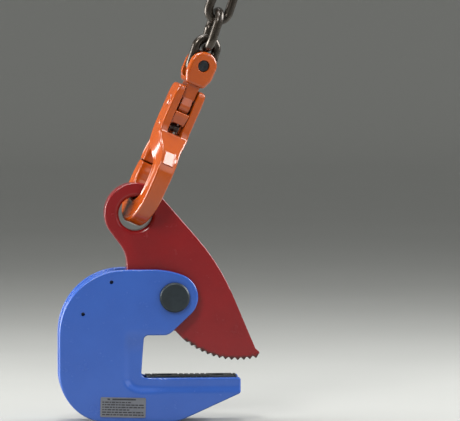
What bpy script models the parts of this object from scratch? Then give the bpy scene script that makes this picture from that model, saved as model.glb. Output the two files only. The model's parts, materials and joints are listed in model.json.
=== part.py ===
"""Plate lifting clamp with its sling hook and the end of its chain.

The clamp frame is two side plates over a C-shaped core. A toothed cam lever turns between them on a
pivot pin and grips a plate against the pad on the lower jaw. A self-locking hook hangs in the lever's
eye, and a short chain hangs on the hook's load pin.

Sizes are in millimetres and become metres when a mesh is made. X points out of the jaw, Y across the
clamp's thickness and Z up. The origin is the centre of the lower jaw seat.
"""

import math

import bmesh
import bpy
from mathutils import Matrix, Vector

MM = 0.001
GAP = 0.3

# clamp frame, seen from the front
PIVOT = Vector((-21.5, 0.0, 87.7))
SIDE_PLATE = 10.0
INNER_HALF = 15.0
OUTER_HALF = INNER_HALF + SIDE_PLATE
LEFT_X = -148.5
TOP_Z = 118.2
BOTTOM_Z = -50.6
CROWN_R = 71.5
HEEL_R = 55.0
BROW_X = -45.5
NOSE_R = 26.0
NOSE_END = -48.0
NOSE_FOOT_X = -28.0
THROAT_TOP_Z = 45.7
THROAT_TOP_X = -55.0
THROAT_FOOT_X = -58.3
JAW_EDGE_Z = -1.5
TIP_X = 51.7
TIP_LOW_Z = -18.7
UNDERSIDE_X = -19.0
PLATE_EDGE = 1.3
LOCATING_HOLES = ((-91.0, 104.7), (-122.3, 69.6))
LOCATING_HOLE_R = 2.0

# core between the side plates
CORE_HALF = INNER_HALF - GAP
CORE_INSET = 1.0
CORE_CLEAR_R = 57.5
CORE_CROWN_DEG = 97.0
CORE_END_DEG = 172.0
CORE_WALL_INSET = 1.5
PAD_SEAT_Z = -10.0

# jaw pad and its screws
PAD_X = (-52.0, 48.0)
PAD_HALF = 14.3
PAD_PITCH = 6.0
PAD_GROOVE = 1.2
SCREW_X = (-31.0, 29.0)
SCREW_HEAD_R = 8.0
SCREW_R = 4.0
SCREW_LENGTH = 12.0
SCREW_SUNK = 1.8
SOCKET_R = 2.9

# pivot pin and what sits on it
PIN_R = 14.0
PIN_HEAD_R = 16.5
PIN_HEAD = 5.0
PIN_TAIL = 8.0
BUSH_R = 17.0
WASHER_R = 25.0
WASHER = 1.4
REAR_WASHER_R = 22.0
REAR_WASHER = 2.6
CIRCLIP = 1.8
CIRCLIP_R = 18.5
CIRCLIP_GROOVE_R = 12.6

# rating plate
LABEL_CENTRE = Vector((-78.5, -33.5))
LABEL_HALF_X = 25.0
LABEL_HALF_Z = 11.0
LABEL_CORNER_R = 1.5
LABEL_LEAN = -1.5
LABEL_THICK = 0.6
LABEL_GAP = 0.1

# cam lever, seen from the front with the pivot at the origin
CAM_HALF = 13.0
EYE = Vector((-42.3, 91.5))
EYE_R = 34.0
EYE_HOLE_R = 18.5
EYE_LIP = 4.0
SHOULDER = (50.6, 35.8)
SHOULDER_R = 230.0
CAM_HEEL = (90.4, -58.3)
CAM_TOE = (95.2, -62.4)
TOOTH_CENTRE = Vector((71.0, 18.9))
TOOTH_R = 89.7
TOOTH_SPAN = (283.4, 230.8)
TOOTH_COUNT = 12
TOOTH_DEPTH = 2.6
SMOOTH_END = 219.5
BOSS_R = 37.5
NECK_LOW = (-51.7, 8.0)
NECK_TOP = (-51.7, 47.5)
NECK_DEG = 217.0
CAM_EDGE = 1.0

# hook, in its own frame: X across the forging, Y from spine to latch, Z from bowl to load pin
HOOK_TILT = 24.0
HOOK_YAW = 13.0
BOWL_CENTRE_Z = 34.6
BOWL_INNER_R = 20.0
FORK_HALF = 17.5
FORK_DEPTH = 13.0
FORK_TOP_Z = 151.5
SLOT_HALF = 8.5
SLOT_Z = 97.0
HINGE_Z = 130.0
HINGE_R = 5.0
TANG_HALF = 7.5
TANG_R = 11.0
ARM_END_Z = 58.0
TRIGGER_PIN_Y = -2.0
TRIGGER_PIN_Z = 103.5
TRIGGER_PIN_R = 2.5
LOAD_PIN_Z = 179.0
LOAD_PIN_R = 6.25
EAR_R = 15.5
EAR_HALF = 13.5
EAR_GAP_HALF = 6.5
EAR_GAP_Z = 161.0
RETAINER_R = 1.5
RETAINER_Y = 10.0

# chain
WIRE_R = 5.0
LINK_PITCH = 32.0
LINK_BEND_R = 11.75
LINK_SLACK = 0.4
LINK_LEAN = -5.6
LINK_TURN = (0.0, 90.0, 180.0)


# ---------- outlines ----------


def polar(centre, radius, degrees):
    angle = math.radians(degrees)
    return Vector((centre[0] + radius * math.cos(angle), centre[1] + radius * math.sin(angle)))


def arc(centre, radius, start, end, step=7.5):
    """Points on an arc, both ends included, as outline nodes with no rounding."""
    count = max(1, math.ceil(abs(end - start) / step))
    nodes = []
    for index in range(count + 1):
        point = polar(centre, radius, start + (end - start) * index / count)
        nodes.append((point.x, point.y, 0.0))
    return nodes


def rounded(nodes, step=12.0):
    """Turns nodes (x, z, radius) into points, with an arc of that radius at each corner that has one."""
    points = []
    for index, (x, z, radius) in enumerate(nodes):
        corner = Vector((x, z))
        if radius == 0.0:
            points.append(corner)
            continue
        before = Vector(nodes[index - 1][:2]) - corner
        after = Vector(nodes[(index + 1) % len(nodes)][:2]) - corner
        before.normalize()
        after.normalize()
        half = before.angle(after) / 2
        centre = corner + (before + after).normalized() * radius / math.sin(half)
        first = corner + before * radius / math.tan(half) - centre
        last = corner + after * radius / math.tan(half) - centre
        turn = first.angle_signed(last)
        count = max(1, math.ceil(abs(math.degrees(turn)) / step))
        for part in range(count + 1):
            spin = Matrix.Rotation(-turn * part / count, 2)
            points.append(centre + spin @ first)
    return points


def touch_angle(centre, radius, point, side):
    """Direction, in degrees, of the place where a line from the point touches the circle."""
    reach = Vector(point) - Vector(centre)
    return math.degrees(math.atan2(reach.y, reach.x) + side * math.acos(radius / reach.length))


def rim(inset, crown_end=90.0):
    """The outer edge shared by side plates and core: tip, underside, heel, back and crown."""
    slope = math.atan2(TIP_LOW_Z - BOTTOM_Z, TIP_X - UNDERSIDE_X)
    rise = inset / math.cos(slope)
    tip_z = TIP_LOW_Z + rise - inset * math.tan(slope)
    foot_x = UNDERSIDE_X - (rise - inset) / math.tan(slope)
    heel = (LEFT_X + HEEL_R, BOTTOM_Z + HEEL_R)
    crown = (LEFT_X + CROWN_R, TOP_Z - CROWN_R)
    nodes = [(TIP_X - inset, tip_z, 3.5), (foot_x, BOTTOM_Z + inset, 40.0)]
    nodes += arc(heel, HEEL_R - inset, 270, 180)
    nodes += arc(crown, CROWN_R - inset, 180, crown_end)
    return nodes


def side_plate_outline():
    pivot = (PIVOT.x, PIVOT.z)
    height = TOP_Z - PIVOT.z
    reach = PIVOT.x - BROW_X
    brow_r = (reach**2 + height**2 - NOSE_R**2) / (2 * (height - NOSE_R))
    brow_end = math.degrees(math.atan2(brow_r - height, reach))
    nodes = [(TIP_X, JAW_EDGE_Z, 2.5)]
    nodes += rim(0.0)
    nodes += arc((BROW_X, TOP_Z - brow_r), brow_r, 90, brow_end, 5)
    nodes += arc(pivot, NOSE_R, brow_end, NOSE_END)[1:]
    nodes.append((NOSE_FOOT_X, THROAT_TOP_Z, 14.0))
    nodes.append((THROAT_TOP_X, THROAT_TOP_Z, 5.0))
    nodes.append((THROAT_FOOT_X, JAW_EDGE_Z, 6.0))
    return rounded(nodes)


def core_outline():
    pivot = (PIVOT.x, PIVOT.z)
    wall_x = THROAT_TOP_X - CORE_WALL_INSET
    wall_foot_x = THROAT_FOOT_X - CORE_WALL_INSET
    meet = math.degrees(math.acos((wall_x - PIVOT.x) / CORE_CLEAR_R))
    nodes = [(TIP_X - CORE_INSET, PAD_SEAT_Z, 2.0)]
    nodes += rim(CORE_INSET, CORE_CROWN_DEG)
    nodes += arc(pivot, CORE_CLEAR_R, CORE_END_DEG, 360 - meet)
    nodes.append((wall_foot_x, PAD_SEAT_Z, 3.0))
    return rounded(nodes)


def cam_outline():
    eye_end = touch_angle(EYE, EYE_R, SHOULDER, 1)
    boss_start = touch_angle((0, 0), BOSS_R, NECK_LOW, 1)
    nodes = arc(EYE, EYE_R, NECK_DEG, eye_end)
    nodes.append((*SHOULDER, SHOULDER_R))
    nodes.append((*CAM_HEEL, 2.0))
    nodes.append((*CAM_TOE, 1.0))
    pitch = (TOOTH_SPAN[1] - TOOTH_SPAN[0]) / TOOTH_COUNT
    for tooth in range(TOOTH_COUNT):
        start = TOOTH_SPAN[0] + pitch * tooth
        for along, depth in ((0.0, 0.0), (0.18, 0.0), (0.5, 1.0), (0.68, 1.0)):
            point = polar(TOOTH_CENTRE, TOOTH_R - TOOTH_DEPTH * depth, start + pitch * along)
            nodes.append((point.x, point.y, 0.0))
    nodes += arc(TOOTH_CENTRE, TOOTH_R, TOOTH_SPAN[1], SMOOTH_END, 4)
    nodes += arc((0, 0), BOSS_R, 266, boss_start, 8)
    nodes.append((*NECK_LOW, 22.0))
    nodes.append((*NECK_TOP, 36.0))
    return rounded(nodes)


# ---------- meshes ----------


def prism(outline, low, high, axis="Y"):
    """A solid with the outline's shape, from low to high along the axis."""
    mesh = bmesh.new()
    rows = []
    for level in (low, high):
        row = []
        for a, b in outline:
            place = {"X": (level, a, b), "Y": (a, level, b), "Z": (a, b, level)}[axis]
            row.append(mesh.verts.new(place))
        rows.append(row)
    count = len(outline)
    for index in range(count):
        after = (index + 1) % count
        mesh.faces.new((rows[0][index], rows[0][after], rows[1][after], rows[1][index]))
    mesh.faces.new(rows[0])
    mesh.faces.new(rows[1])
    bmesh.ops.recalc_face_normals(mesh, faces=mesh.faces)
    return mesh


def turned(profile, segments=36, axis="Y", ring=False):
    """A solid of revolution from (radius, height) pairs; ring=True closes the profile on itself."""
    mesh = bmesh.new()
    rings = []
    for radius, height in profile:
        row = []
        for index in range(segments):
            angle = 2 * math.pi * index / segments
            a = radius * math.cos(angle)
            b = radius * math.sin(angle)
            place = {"X": (height, a, b), "Y": (a, height, b), "Z": (a, b, height)}[axis]
            row.append(mesh.verts.new(place))
        rings.append(row)
    pairs = list(zip(rings, rings[1:]))
    if ring:
        pairs.append((rings[-1], rings[0]))
    for low, high in pairs:
        for index in range(segments):
            after = (index + 1) % segments
            mesh.faces.new((low[index], low[after], high[after], high[index]))
    if not ring:
        mesh.faces.new(rings[0])
        mesh.faces.new(rings[-1])
    bmesh.ops.recalc_face_normals(mesh, faces=mesh.faces)
    return mesh


def tube(outer, inner, low, high, segments=36, axis="Y"):
    return turned([(inner, low), (outer, low), (outer, high), (inner, high)], segments, axis, True)


def lofted(rings, closed=False):
    """A solid through rings of points; closed=True joins the last ring to the first."""
    mesh = bmesh.new()
    rows = [[mesh.verts.new(point) for point in ring] for ring in rings]
    pairs = list(zip(rows, rows[1:]))
    if closed:
        pairs.append((rows[-1], rows[0]))
    for low, high in pairs:
        for index in range(len(low)):
            after = (index + 1) % len(low)
            mesh.faces.new((low[index], low[after], high[after], high[index]))
    if not closed:
        mesh.faces.new(rows[0])
        mesh.faces.new(rows[-1])
    bmesh.ops.recalc_face_normals(mesh, faces=mesh.faces)
    return mesh


def spline(stations, steps):
    """Catmull-Rom points through stations, each a tuple of the same length."""
    ends = [stations[0], *stations, stations[-1]]
    result = []
    for index in range(len(stations) - 1):
        a, b, c, d = (ends[index + offset] for offset in range(4))
        for step in range(steps):
            t = step / steps
            values = []
            for p, q, r, s in zip(a, b, c, d):
                bend = 2 * p - 5 * q + 4 * r - s
                twist = 3 * q - p - 3 * r + s
                values.append(0.5 * (2 * q + (r - p) * t + bend * t * t + twist * t**3))
            result.append(tuple(values))
    result.append(stations[-1])
    return result


def section(half_x, half_side, power, centre, side, count):
    """A rounded section across X and the side direction."""
    ring = []
    for index in range(count):
        angle = 2 * math.pi * (index + 0.5) / count
        c = math.cos(angle)
        s = math.sin(angle)
        x = math.copysign(abs(c) ** (2 / power), c) * half_x
        y = math.copysign(abs(s) ** (2 / power), s) * half_side
        ring.append(Vector((x, 0, 0)) + centre + side * y)
    return ring


def swept_bar(stations, steps, count):
    """A bar along stations (y, z, half depth, half width, squareness) in the YZ plane."""
    path = spline(stations, steps)
    rings = []
    for index, (y, z, depth, width, power) in enumerate(path):
        before = path[max(0, index - 1)]
        after = path[min(len(path) - 1, index + 1)]
        along = Vector((0, after[0] - before[0], after[1] - before[1])).normalized()
        side = Vector((0, -along.z, along.y))
        rings.append(section(width, depth, power, Vector((0, y, z)), side, count))
    return lofted(rings)


# ---------- objects ----------


def clear_scene():
    for thing in list(bpy.data.objects):
        bpy.data.objects.remove(thing)


def paint(name, colour, roughness, metallic):
    material = bpy.data.materials.new(name)
    material.use_nodes = True
    shader = material.node_tree.nodes["Principled BSDF"]
    shader.inputs["Base Color"].default_value = (*colour, 1.0)
    shader.inputs["Roughness"].default_value = roughness
    shader.inputs["Metallic"].default_value = metallic
    return material


def axis_empty(name, matrix, parent=None):
    """A joint's axis: everything parented to it turns about its origin. The matrix is in millimetres."""
    empty = bpy.data.objects.new(name, None)
    bpy.context.collection.objects.link(empty)
    empty.empty_display_size = 0.02
    empty.parent = parent
    local = matrix.copy()
    local.translation = matrix.translation * MM
    empty.matrix_local = local
    return empty


def add(name, mesh, material, parent=None, shift=(0, 0, 0)):
    """Makes an object from a mesh in millimetres, shifted so that its own axis is at its origin."""
    bmesh.ops.translate(mesh, verts=mesh.verts, vec=Vector(shift))
    bmesh.ops.scale(mesh, verts=mesh.verts, vec=(MM, MM, MM))
    data = bpy.data.meshes.new(name)
    mesh.to_mesh(data)
    mesh.free()
    data.shade_smooth()
    data.set_sharp_from_angle(angle=math.radians(30))
    piece = bpy.data.objects.new(name, data)
    bpy.context.collection.objects.link(piece)
    piece.parent = parent
    if material:
        data.materials.append(material)
    else:
        piece.hide_render = True
        piece.display_type = "WIRE"
    return piece


def bevel(piece, width, segments=1, angle=35.0):
    modifier = piece.modifiers.new("Edges", "BEVEL")
    modifier.width = width * MM
    modifier.segments = segments
    modifier.limit_method = "ANGLE"
    modifier.angle_limit = math.radians(angle)


def cut(piece, mesh, shift=(0, 0, 0), union=False):
    """Takes a mesh away from the piece, or joins it on with union=True."""
    tool = add(piece.name + "_tool", mesh, None, piece.parent, shift)
    modifier = piece.modifiers.new("Cut", "BOOLEAN")
    modifier.operation = "UNION" if union else "DIFFERENCE"
    modifier.object = tool
    return tool


def block(x, y, z):
    """A box between the given pairs of limits."""
    corners = [(x[0], z[0]), (x[1], z[0]), (x[1], z[1]), (x[0], z[1])]
    return prism(corners, y[0], y[1])


# ---------- clamp frame ----------


def side_plate(name, side, material):
    low, high = sorted((side * INNER_HALF, side * OUTER_HALF))
    plate = add(name, prism(side_plate_outline(), low, high), material)
    bevel(plate, PLATE_EDGE)
    reach = OUTER_HALF + 5
    cut(plate, turned([(PIN_R + GAP, -reach), (PIN_R + GAP, reach)]), PIVOT)
    return plate


def front_plate(material):
    plate = side_plate("front_side_plate", -1, material)
    for x, z in LOCATING_HOLES:
        hole = turned([(LOCATING_HOLE_R, -OUTER_HALF - 5), (LOCATING_HOLE_R, -INNER_HALF + 5)], 16)
        cut(plate, hole, (x, 0, z))


def core(material):
    body = add("core_plate", prism(core_outline(), -CORE_HALF, CORE_HALF), material)
    bevel(body, 0.8, angle=50.0)
    for x in SCREW_X:
        hole = turned([(SCREW_R + GAP, PAD_SEAT_Z - SCREW_LENGTH), (SCREW_R + GAP, 5)], 24, "Z")
        cut(body, hole, (x, 0, 0))


def jaw_pad(material):
    top = []
    x = PAD_X[1] - PAD_PITCH / 2
    while x > PAD_X[0] + PAD_PITCH:
        half = PAD_GROOVE
        near_screw = min(abs(x - centre) for centre in SCREW_X) < SCREW_HEAD_R + 2.5
        if not near_screw:
            top += [(x + half, 0.0), (x, -PAD_GROOVE), (x - half, 0.0)]
        x -= PAD_PITCH
    low = PAD_SEAT_Z + GAP
    outline = [(PAD_X[0], 0.0), (PAD_X[0], low), (PAD_X[1], low), (PAD_X[1], 0.0), *top]
    pad = add("jaw_pad", prism(outline, -PAD_HALF, PAD_HALF), material)
    for x in SCREW_X:
        profile = [(SCREW_R + GAP, low - 2), (SCREW_R + GAP, -SCREW_SUNK - 4.4)]
        profile += [(SCREW_HEAD_R + 0.5, -SCREW_SUNK), (SCREW_HEAD_R + 0.5, 2)]
        cut(pad, turned(profile, 32, "Z"), (x, 0, 0))


def jaw_pad_screw(number, x, material):
    head_low = -SCREW_SUNK - 4.0
    profile = [(SCREW_R - 0.8, -SCREW_LENGTH - 7), (SCREW_R, -SCREW_LENGTH - 6), (SCREW_R, head_low - 0.4)]
    profile += [(SCREW_HEAD_R, -SCREW_SUNK - 0.4), (SCREW_HEAD_R, -SCREW_SUNK)]
    screw = add(f"jaw_pad_screw_{number}", turned(profile, 32, "Z"), material, None, (x, 0, 0))
    socket = turned([(SOCKET_R, -SCREW_SUNK - 3.5), (SOCKET_R, 2)], 6, "Z")
    cut(screw, socket, (x, 0, 0))


def pivot_parts(steel, plain):
    front = -OUTER_HALF - GAP
    tail = OUTER_HALF + PIN_TAIL
    groove = OUTER_HALF + REAR_WASHER + 2 * GAP
    profile = [(PIN_HEAD_R - 1.5, front - PIN_HEAD), (PIN_HEAD_R, front - PIN_HEAD + 1.5)]
    profile += [(PIN_HEAD_R, front), (PIN_R, front), (PIN_R, groove)]
    profile += [(CIRCLIP_GROOVE_R - GAP, groove), (CIRCLIP_GROOVE_R - GAP, groove + CIRCLIP + GAP)]
    profile += [(PIN_R, groove + CIRCLIP + GAP), (PIN_R, tail - 1.5), (PIN_R - 1.5, tail)]
    add("pivot_pin", turned(profile), steel, None, PIVOT)
    low = OUTER_HALF + GAP
    add("pin_washer", tube(REAR_WASHER_R, PIN_R + GAP, low, low + REAR_WASHER), plain, None, PIVOT)
    outline = [polar((0, 0), CIRCLIP_R, 290 - 310 * part / 30) for part in range(31)]
    outline += [polar((0, 0), CIRCLIP_GROOVE_R, -20 + 310 * part / 30) for part in range(31)]
    low = groove + GAP / 2
    clip = prism(outline, low, low + CIRCLIP)
    add("pin_circlip", clip, steel, None, PIVOT)


def rating_plate(material):
    lean = math.radians(LABEL_LEAN)
    corners = []
    for x, z in ((-1, -1), (1, -1), (1, 1), (-1, 1)):
        corner = Matrix.Rotation(lean, 2) @ Vector((x * LABEL_HALF_X, z * LABEL_HALF_Z))
        corners.append((*corner, LABEL_CORNER_R))
    outline = [point + LABEL_CENTRE for point in rounded(corners, 30)]
    high = -OUTER_HALF - LABEL_GAP
    add("rating_plate", prism(outline, high - LABEL_THICK, high), material)


# ---------- cam lever ----------


def cam_parts(red, bronze, plain, axis):
    cam = add("cam_lever", prism(cam_outline(), -CAM_HALF, CAM_HALF), red, axis)
    bevel(cam, CAM_EDGE, angle=50.0)
    bore = BUSH_R + GAP
    cut(cam, turned([(bore, -CAM_HALF - 5), (bore, CAM_HALF + 5)]))
    wide = EYE_HOLE_R + EYE_LIP
    mouth = CAM_HALF - EYE_LIP
    profile = [(wide + 5, -CAM_HALF - 5), (wide, -CAM_HALF), (EYE_HOLE_R + 1.2, -mouth - 1.2)]
    profile += [(EYE_HOLE_R, -mouth + 1.5), (EYE_HOLE_R, mouth - 1.5), (EYE_HOLE_R + 1.2, mouth + 1.2)]
    profile += [(wide, CAM_HALF), (wide + 5, CAM_HALF + 5)]
    cut(cam, turned(profile), (EYE.x, 0, EYE.y))
    add("cam_bush", tube(BUSH_R, PIN_R + GAP, -CAM_HALF, CAM_HALF), bronze, axis)
    for name, side in (("thrust_washer_front", -1), ("thrust_washer_rear", 1)):
        near = side * (CAM_HALF + GAP)
        low, high = sorted((near, near + side * WASHER))
        add(name, tube(WASHER_R, PIN_R + GAP, low, high), plain, axis)


# ---------- hook ----------


def bowl_stations():
    """The bar from tip to fork: (y, z, half depth, half width, squareness)."""
    stations = [(28.0, 56.5, 6.8, 9.5, 3.0), (28.8, 51.0, 8.0, 9.5, 3.0), (29.2, 44.0, 9.2, 9.5, 3.0)]
    for degrees, depth in ((0, 9.8), (-30, 11.0), (-60, 12.6), (-90, 13.5), (-120, 13.2), (-150, 12.0)):
        point = polar((0, BOWL_CENTRE_Z), BOWL_INNER_R + depth, degrees)
        stations.append((point.x, point.y, depth, 9.8, 2.8))
    stations += [(-31.0, 36.0, 11.0, 9.5, 3.2), (-31.0, 52.0, 11.0, 9.5, 3.4)]
    stations += [(-27.0, 69.0, 11.5, 10.5, 3.8), (-15.5, 85.0, 12.5, 14.5, 4.5)]
    stations += [(-5.0, 99.0, FORK_DEPTH, FORK_HALF, 6.0), (0.0, 116.0, FORK_DEPTH, FORK_HALF, 7.0)]
    stations += [(0.0, 140.0, FORK_DEPTH, FORK_HALF, 7.0)]
    stations += [(0.0, FORK_TOP_Z - 3, FORK_DEPTH - 0.6, FORK_HALF - 0.6, 6.0)]
    stations += [(0.0, FORK_TOP_Z, FORK_DEPTH - 3.5, FORK_HALF - 3, 5.0)]
    return stations


def hook_bowl(material, axis):
    bowl = add("hook_bowl", swept_bar(bowl_stations(), 3, 16), material, axis)
    cut(bowl, block((-SLOT_HALF, SLOT_HALF), (-30, 30), (SLOT_Z, FORK_TOP_Z + 10)))
    for y, z, radius in ((0, HINGE_Z, HINGE_R), (TRIGGER_PIN_Y, TRIGGER_PIN_Z, TRIGGER_PIN_R)):
        hole = turned([(radius + GAP, -30), (radius + GAP, 30)], 24, "X")
        cut(bowl, hole, (0, y, z))


def hinge_pin(material, axis):
    head = FORK_HALF + GAP
    profile = [(2.0, -head - 1.6), (5.0, -head - 1.1), (6.6, -head), (HINGE_R, -head)]
    profile += [(radius, -height) for radius, height in reversed(profile)]
    add("hinge_pin", turned(profile, 24, "X"), material, axis, (0, 0, HINGE_Z))


def trigger_pin(material, axis):
    end = FORK_HALF + 0.2
    profile = [(TRIGGER_PIN_R - 0.5, -end), (TRIGGER_PIN_R, -end + 0.5)]
    profile += [(radius, -height) for radius, height in reversed(profile)]
    pin = turned(profile, 16, "X")
    add("trigger_pin", pin, material, axis, (0, TRIGGER_PIN_Y, TRIGGER_PIN_Z))


def trigger_spring(material, axis):
    """A torsion spring round the trigger pin, with one leg down and one up."""
    coil_r = 3.7
    wire_r = 0.45
    turns = 4
    per_turn = 12
    half = 2.6
    points = [Vector((-half, -coil_r, -5.0))]
    for index in range(turns * per_turn + 1):
        angle = math.pi + 2 * math.pi * index / per_turn
        x = -half + 2 * half * index / (turns * per_turn)
        points.append(Vector((x, coil_r * math.cos(angle), coil_r * math.sin(angle))))
    points.append(Vector((half, -coil_r, -5.0)))
    rings = []
    for index, point in enumerate(points):
        along = (points[min(index + 1, len(points) - 1)] - points[max(index - 1, 0)]).normalized()
        side = along.cross(Vector((1, 0, 0))).normalized()
        across = along.cross(side)
        ring = []
        for corner in range(6):
            angle = math.pi * corner / 3
            ring.append(point + side * wire_r * math.cos(angle) + across * wire_r * math.sin(angle))
        rings.append(ring)
    add("trigger_spring", lofted(rings), material, axis, (0, TRIGGER_PIN_Y, TRIGGER_PIN_Z))


def trigger(material, axis):
    """The release trigger, drawn from its own pin, with its top edge following the tang."""
    hinge = (-TRIGGER_PIN_Y, HINGE_Z - TRIGGER_PIN_Z)
    clear_r = TANG_R + 0.6
    nodes = arc((0, 0), 5.0, 20, -150, 20)
    nodes += [(-7.4, 3.5, 4.0), (-11.0, 15.0, 8.0), (-11.2, 18.6, 1.0)]
    nodes += arc(hinge, clear_r, 217, 258, 8)
    nodes.append((3.5, 11.0, 3.0))
    half = SLOT_HALF - 0.5
    piece = add("trigger", prism(rounded(nodes, 15), -half, half, "X"), material, axis)
    bevel(piece, 0.6, angle=50.0)
    cut(piece, turned([(TRIGGER_PIN_R + GAP, -20), (TRIGGER_PIN_R + GAP, 20)], 16, "X"))
    cut(piece, block((-3.6, 3.6), (-12, 12), (-8, 5.8)))


def latch_body(material, axis):
    """Latch arm, tang, neck and clevis in one, drawn from the hinge pin."""
    arm_end = ARM_END_Z - HINGE_Z
    top = EAR_GAP_Z - HINGE_Z - 1.0
    nodes = [(-10.0, top, 0.0), (-10.0, 8.0, 2.0)]
    nodes += arc((0, 0), TANG_R, 165, 310, 12)
    nodes += [(20.5, -50.0, 12.0), (22.0, arm_end, 1.5), (36.0, arm_end, 3.0), (36.0, -52.0, 14.0)]
    nodes += [(12.0, 2.0, 20.0), (10.0, 16.0, 0.0), (10.0, top, 0.0)]
    body = add("latch_body", prism(rounded(nodes, 14), -TANG_HALF, TANG_HALF, "X"), material, axis)
    bevel(body, 1.6, angle=40.0)
    shift = (0, 0, -HINGE_Z)
    ear = [(-7.4, 150.0, 0.0), (-7.4, 156.0, 12.0), (-EAR_R, 166.0, 20.0)]
    ear += arc((0, LOAD_PIN_Z), EAR_R, 180, 0, 12)
    ear += [(EAR_R, 166.0, 20.0), (7.4, 156.0, 12.0), (7.4, 150.0, 0.0)]
    clevis = cut(body, prism(rounded(ear, 14), -EAR_HALF, EAR_HALF), shift, True)
    bevel(clevis, 1.8, angle=40.0)
    foot = [(28.0, -71.3, 6.6, 9.3, 3.4), (28.9, -62.0, 6.6, 9.4, 3.4), (27.8, -50.0, 6.0, 8.6, 3.2)]
    foot.append((24.0, -38.0, 4.5, 7.0, 3.0))
    cut(body, swept_bar(foot, 2, 16), union=True)
    cut(body, block((-30, 30), (-EAR_GAP_HALF, EAR_GAP_HALF), (EAR_GAP_Z, 210)), shift)
    cut(body, turned([(HINGE_R + GAP, -30), (HINGE_R + GAP, 30)], 24, "X"))
    cut(body, turned([(LOAD_PIN_R + GAP, -30), (LOAD_PIN_R + GAP, 30)], 32), (0, 0, LOAD_PIN_Z - HINGE_Z))
    retainer = turned([(RETAINER_R + GAP, -30), (RETAINER_R + GAP, 30)], 12, "X")
    cut(body, retainer, (0, RETAINER_Y, LOAD_PIN_Z - LOAD_PIN_R - HINGE_Z))


def load_pin(material, axis):
    groove = RETAINER_R + 2 * GAP
    neck = LOAD_PIN_R - RETAINER_R - GAP
    profile = [(LOAD_PIN_R - 0.8, -EAR_HALF + 1.6), (LOAD_PIN_R, -EAR_HALF + 2.4)]
    profile += [(LOAD_PIN_R, RETAINER_Y - groove), (neck, RETAINER_Y - groove), (neck, RETAINER_Y + groove)]
    profile += [(LOAD_PIN_R, RETAINER_Y + groove), (LOAD_PIN_R, EAR_HALF - 0.6)]
    add("load_pin", turned(profile, 32), material, axis, (0, 0, LOAD_PIN_Z - HINGE_Z))
    pin = turned([(RETAINER_R, -12.5), (RETAINER_R, 12.5)], 12, "X")
    add("load_pin_retainer", pin, material, axis, (0, RETAINER_Y, LOAD_PIN_Z - LOAD_PIN_R - HINGE_Z))


# ---------- chain ----------


def chain_link(name, centre_z, turn, material, axis):
    """A round link standing along Z, turned about Z, centred that far above its axis."""
    straight = LINK_PITCH / 2 - (LINK_BEND_R - WIRE_R)
    path = []
    for end, start in ((straight, 0), (-straight, 180)):
        for index in range(11):
            angle = math.radians(start + 18 * index)
            path.append((LINK_BEND_R * math.cos(angle), end + LINK_BEND_R * math.sin(angle), angle))
    spin = Matrix.Rotation(math.radians(turn), 3, "Z")
    rings = []
    for x, z, angle in path:
        out = Vector((math.cos(angle), 0, math.sin(angle)))
        ring = []
        for index in range(10):
            around = 2 * math.pi * index / 10
            point = Vector((x, 0, z)) + out * WIRE_R * math.cos(around)
            point.y += WIRE_R * math.sin(around)
            ring.append(spin @ point)
        rings.append(ring)
    add(name, lofted(rings, True), material, axis, (0, 0, centre_z))


def chain(material, latch_axis):
    """Each link turns about the middle of the bar that it hangs on."""
    lean = Matrix.Rotation(math.radians(LINK_LEAN), 4, "Y")
    hang = Matrix.Translation((0, 0, LOAD_PIN_Z - HINGE_Z)) @ lean
    axis = axis_empty("chain_1_axis", hang, latch_axis)
    centre = LINK_PITCH / 2 - LOAD_PIN_R - LINK_SLACK
    crown = centre + LINK_PITCH / 2 + WIRE_R
    for number, turn in enumerate(LINK_TURN, start=1):
        chain_link(f"chain_link_{number}", centre, turn, material, axis)
        axis = axis_empty(f"chain_{number + 1}_axis", Matrix.Translation((0, 0, crown)), axis)
        centre = LINK_PITCH / 2 - WIRE_R - LINK_SLACK
        crown = centre + LINK_PITCH / 2 + WIRE_R


def build():
    clear_scene()
    blue = paint("blue_paint", (0.055, 0.13, 0.40), 0.35, 0.0)
    red = paint("red_paint", (0.24, 0.022, 0.024), 0.4, 0.0)
    orange = paint("orange_paint", (0.50, 0.075, 0.018), 0.3, 0.0)
    black = paint("black_steel", (0.03, 0.04, 0.05), 0.45, 0.8)
    chain_steel = paint("chain_steel", (0.05, 0.04, 0.03), 0.4, 0.9)
    bronze = paint("bronze", (0.45, 0.30, 0.12), 0.35, 1.0)
    plain = paint("plain_steel", (0.40, 0.40, 0.41), 0.35, 1.0)
    label = paint("label", (0.30, 0.31, 0.32), 0.5, 0.1)

    front_plate(blue)
    side_plate("rear_side_plate", 1, blue)
    core(blue)
    jaw_pad(black)
    for number, x in enumerate(SCREW_X, start=1):
        jaw_pad_screw(number, x, plain)
    pivot_parts(black, plain)
    rating_plate(label)

    cam_axis = axis_empty("cam_axis", Matrix.Translation(PIVOT))
    cam_parts(red, bronze, plain, cam_axis)

    tilt = Matrix.Rotation(math.radians(HOOK_TILT), 4, "Y")
    yaw = Matrix.Rotation(math.radians(HOOK_YAW), 4, "Z")
    hook_axis = axis_empty("hook_axis", Matrix.Translation((EYE.x, 0, EYE.y)) @ tilt @ yaw, cam_axis)
    hook_bowl(orange, hook_axis)
    hinge_pin(orange, hook_axis)
    trigger_pin(orange, hook_axis)
    trigger_spring(plain, hook_axis)
    place = Matrix.Translation((0, TRIGGER_PIN_Y, TRIGGER_PIN_Z))
    trigger(orange, axis_empty("trigger_axis", place, hook_axis))
    latch_axis = axis_empty("latch_axis", Matrix.Translation((0, 0, HINGE_Z)), hook_axis)
    latch_body(orange, latch_axis)
    load_pin(black, latch_axis)
    chain(chain_steel, latch_axis)


build()
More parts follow.
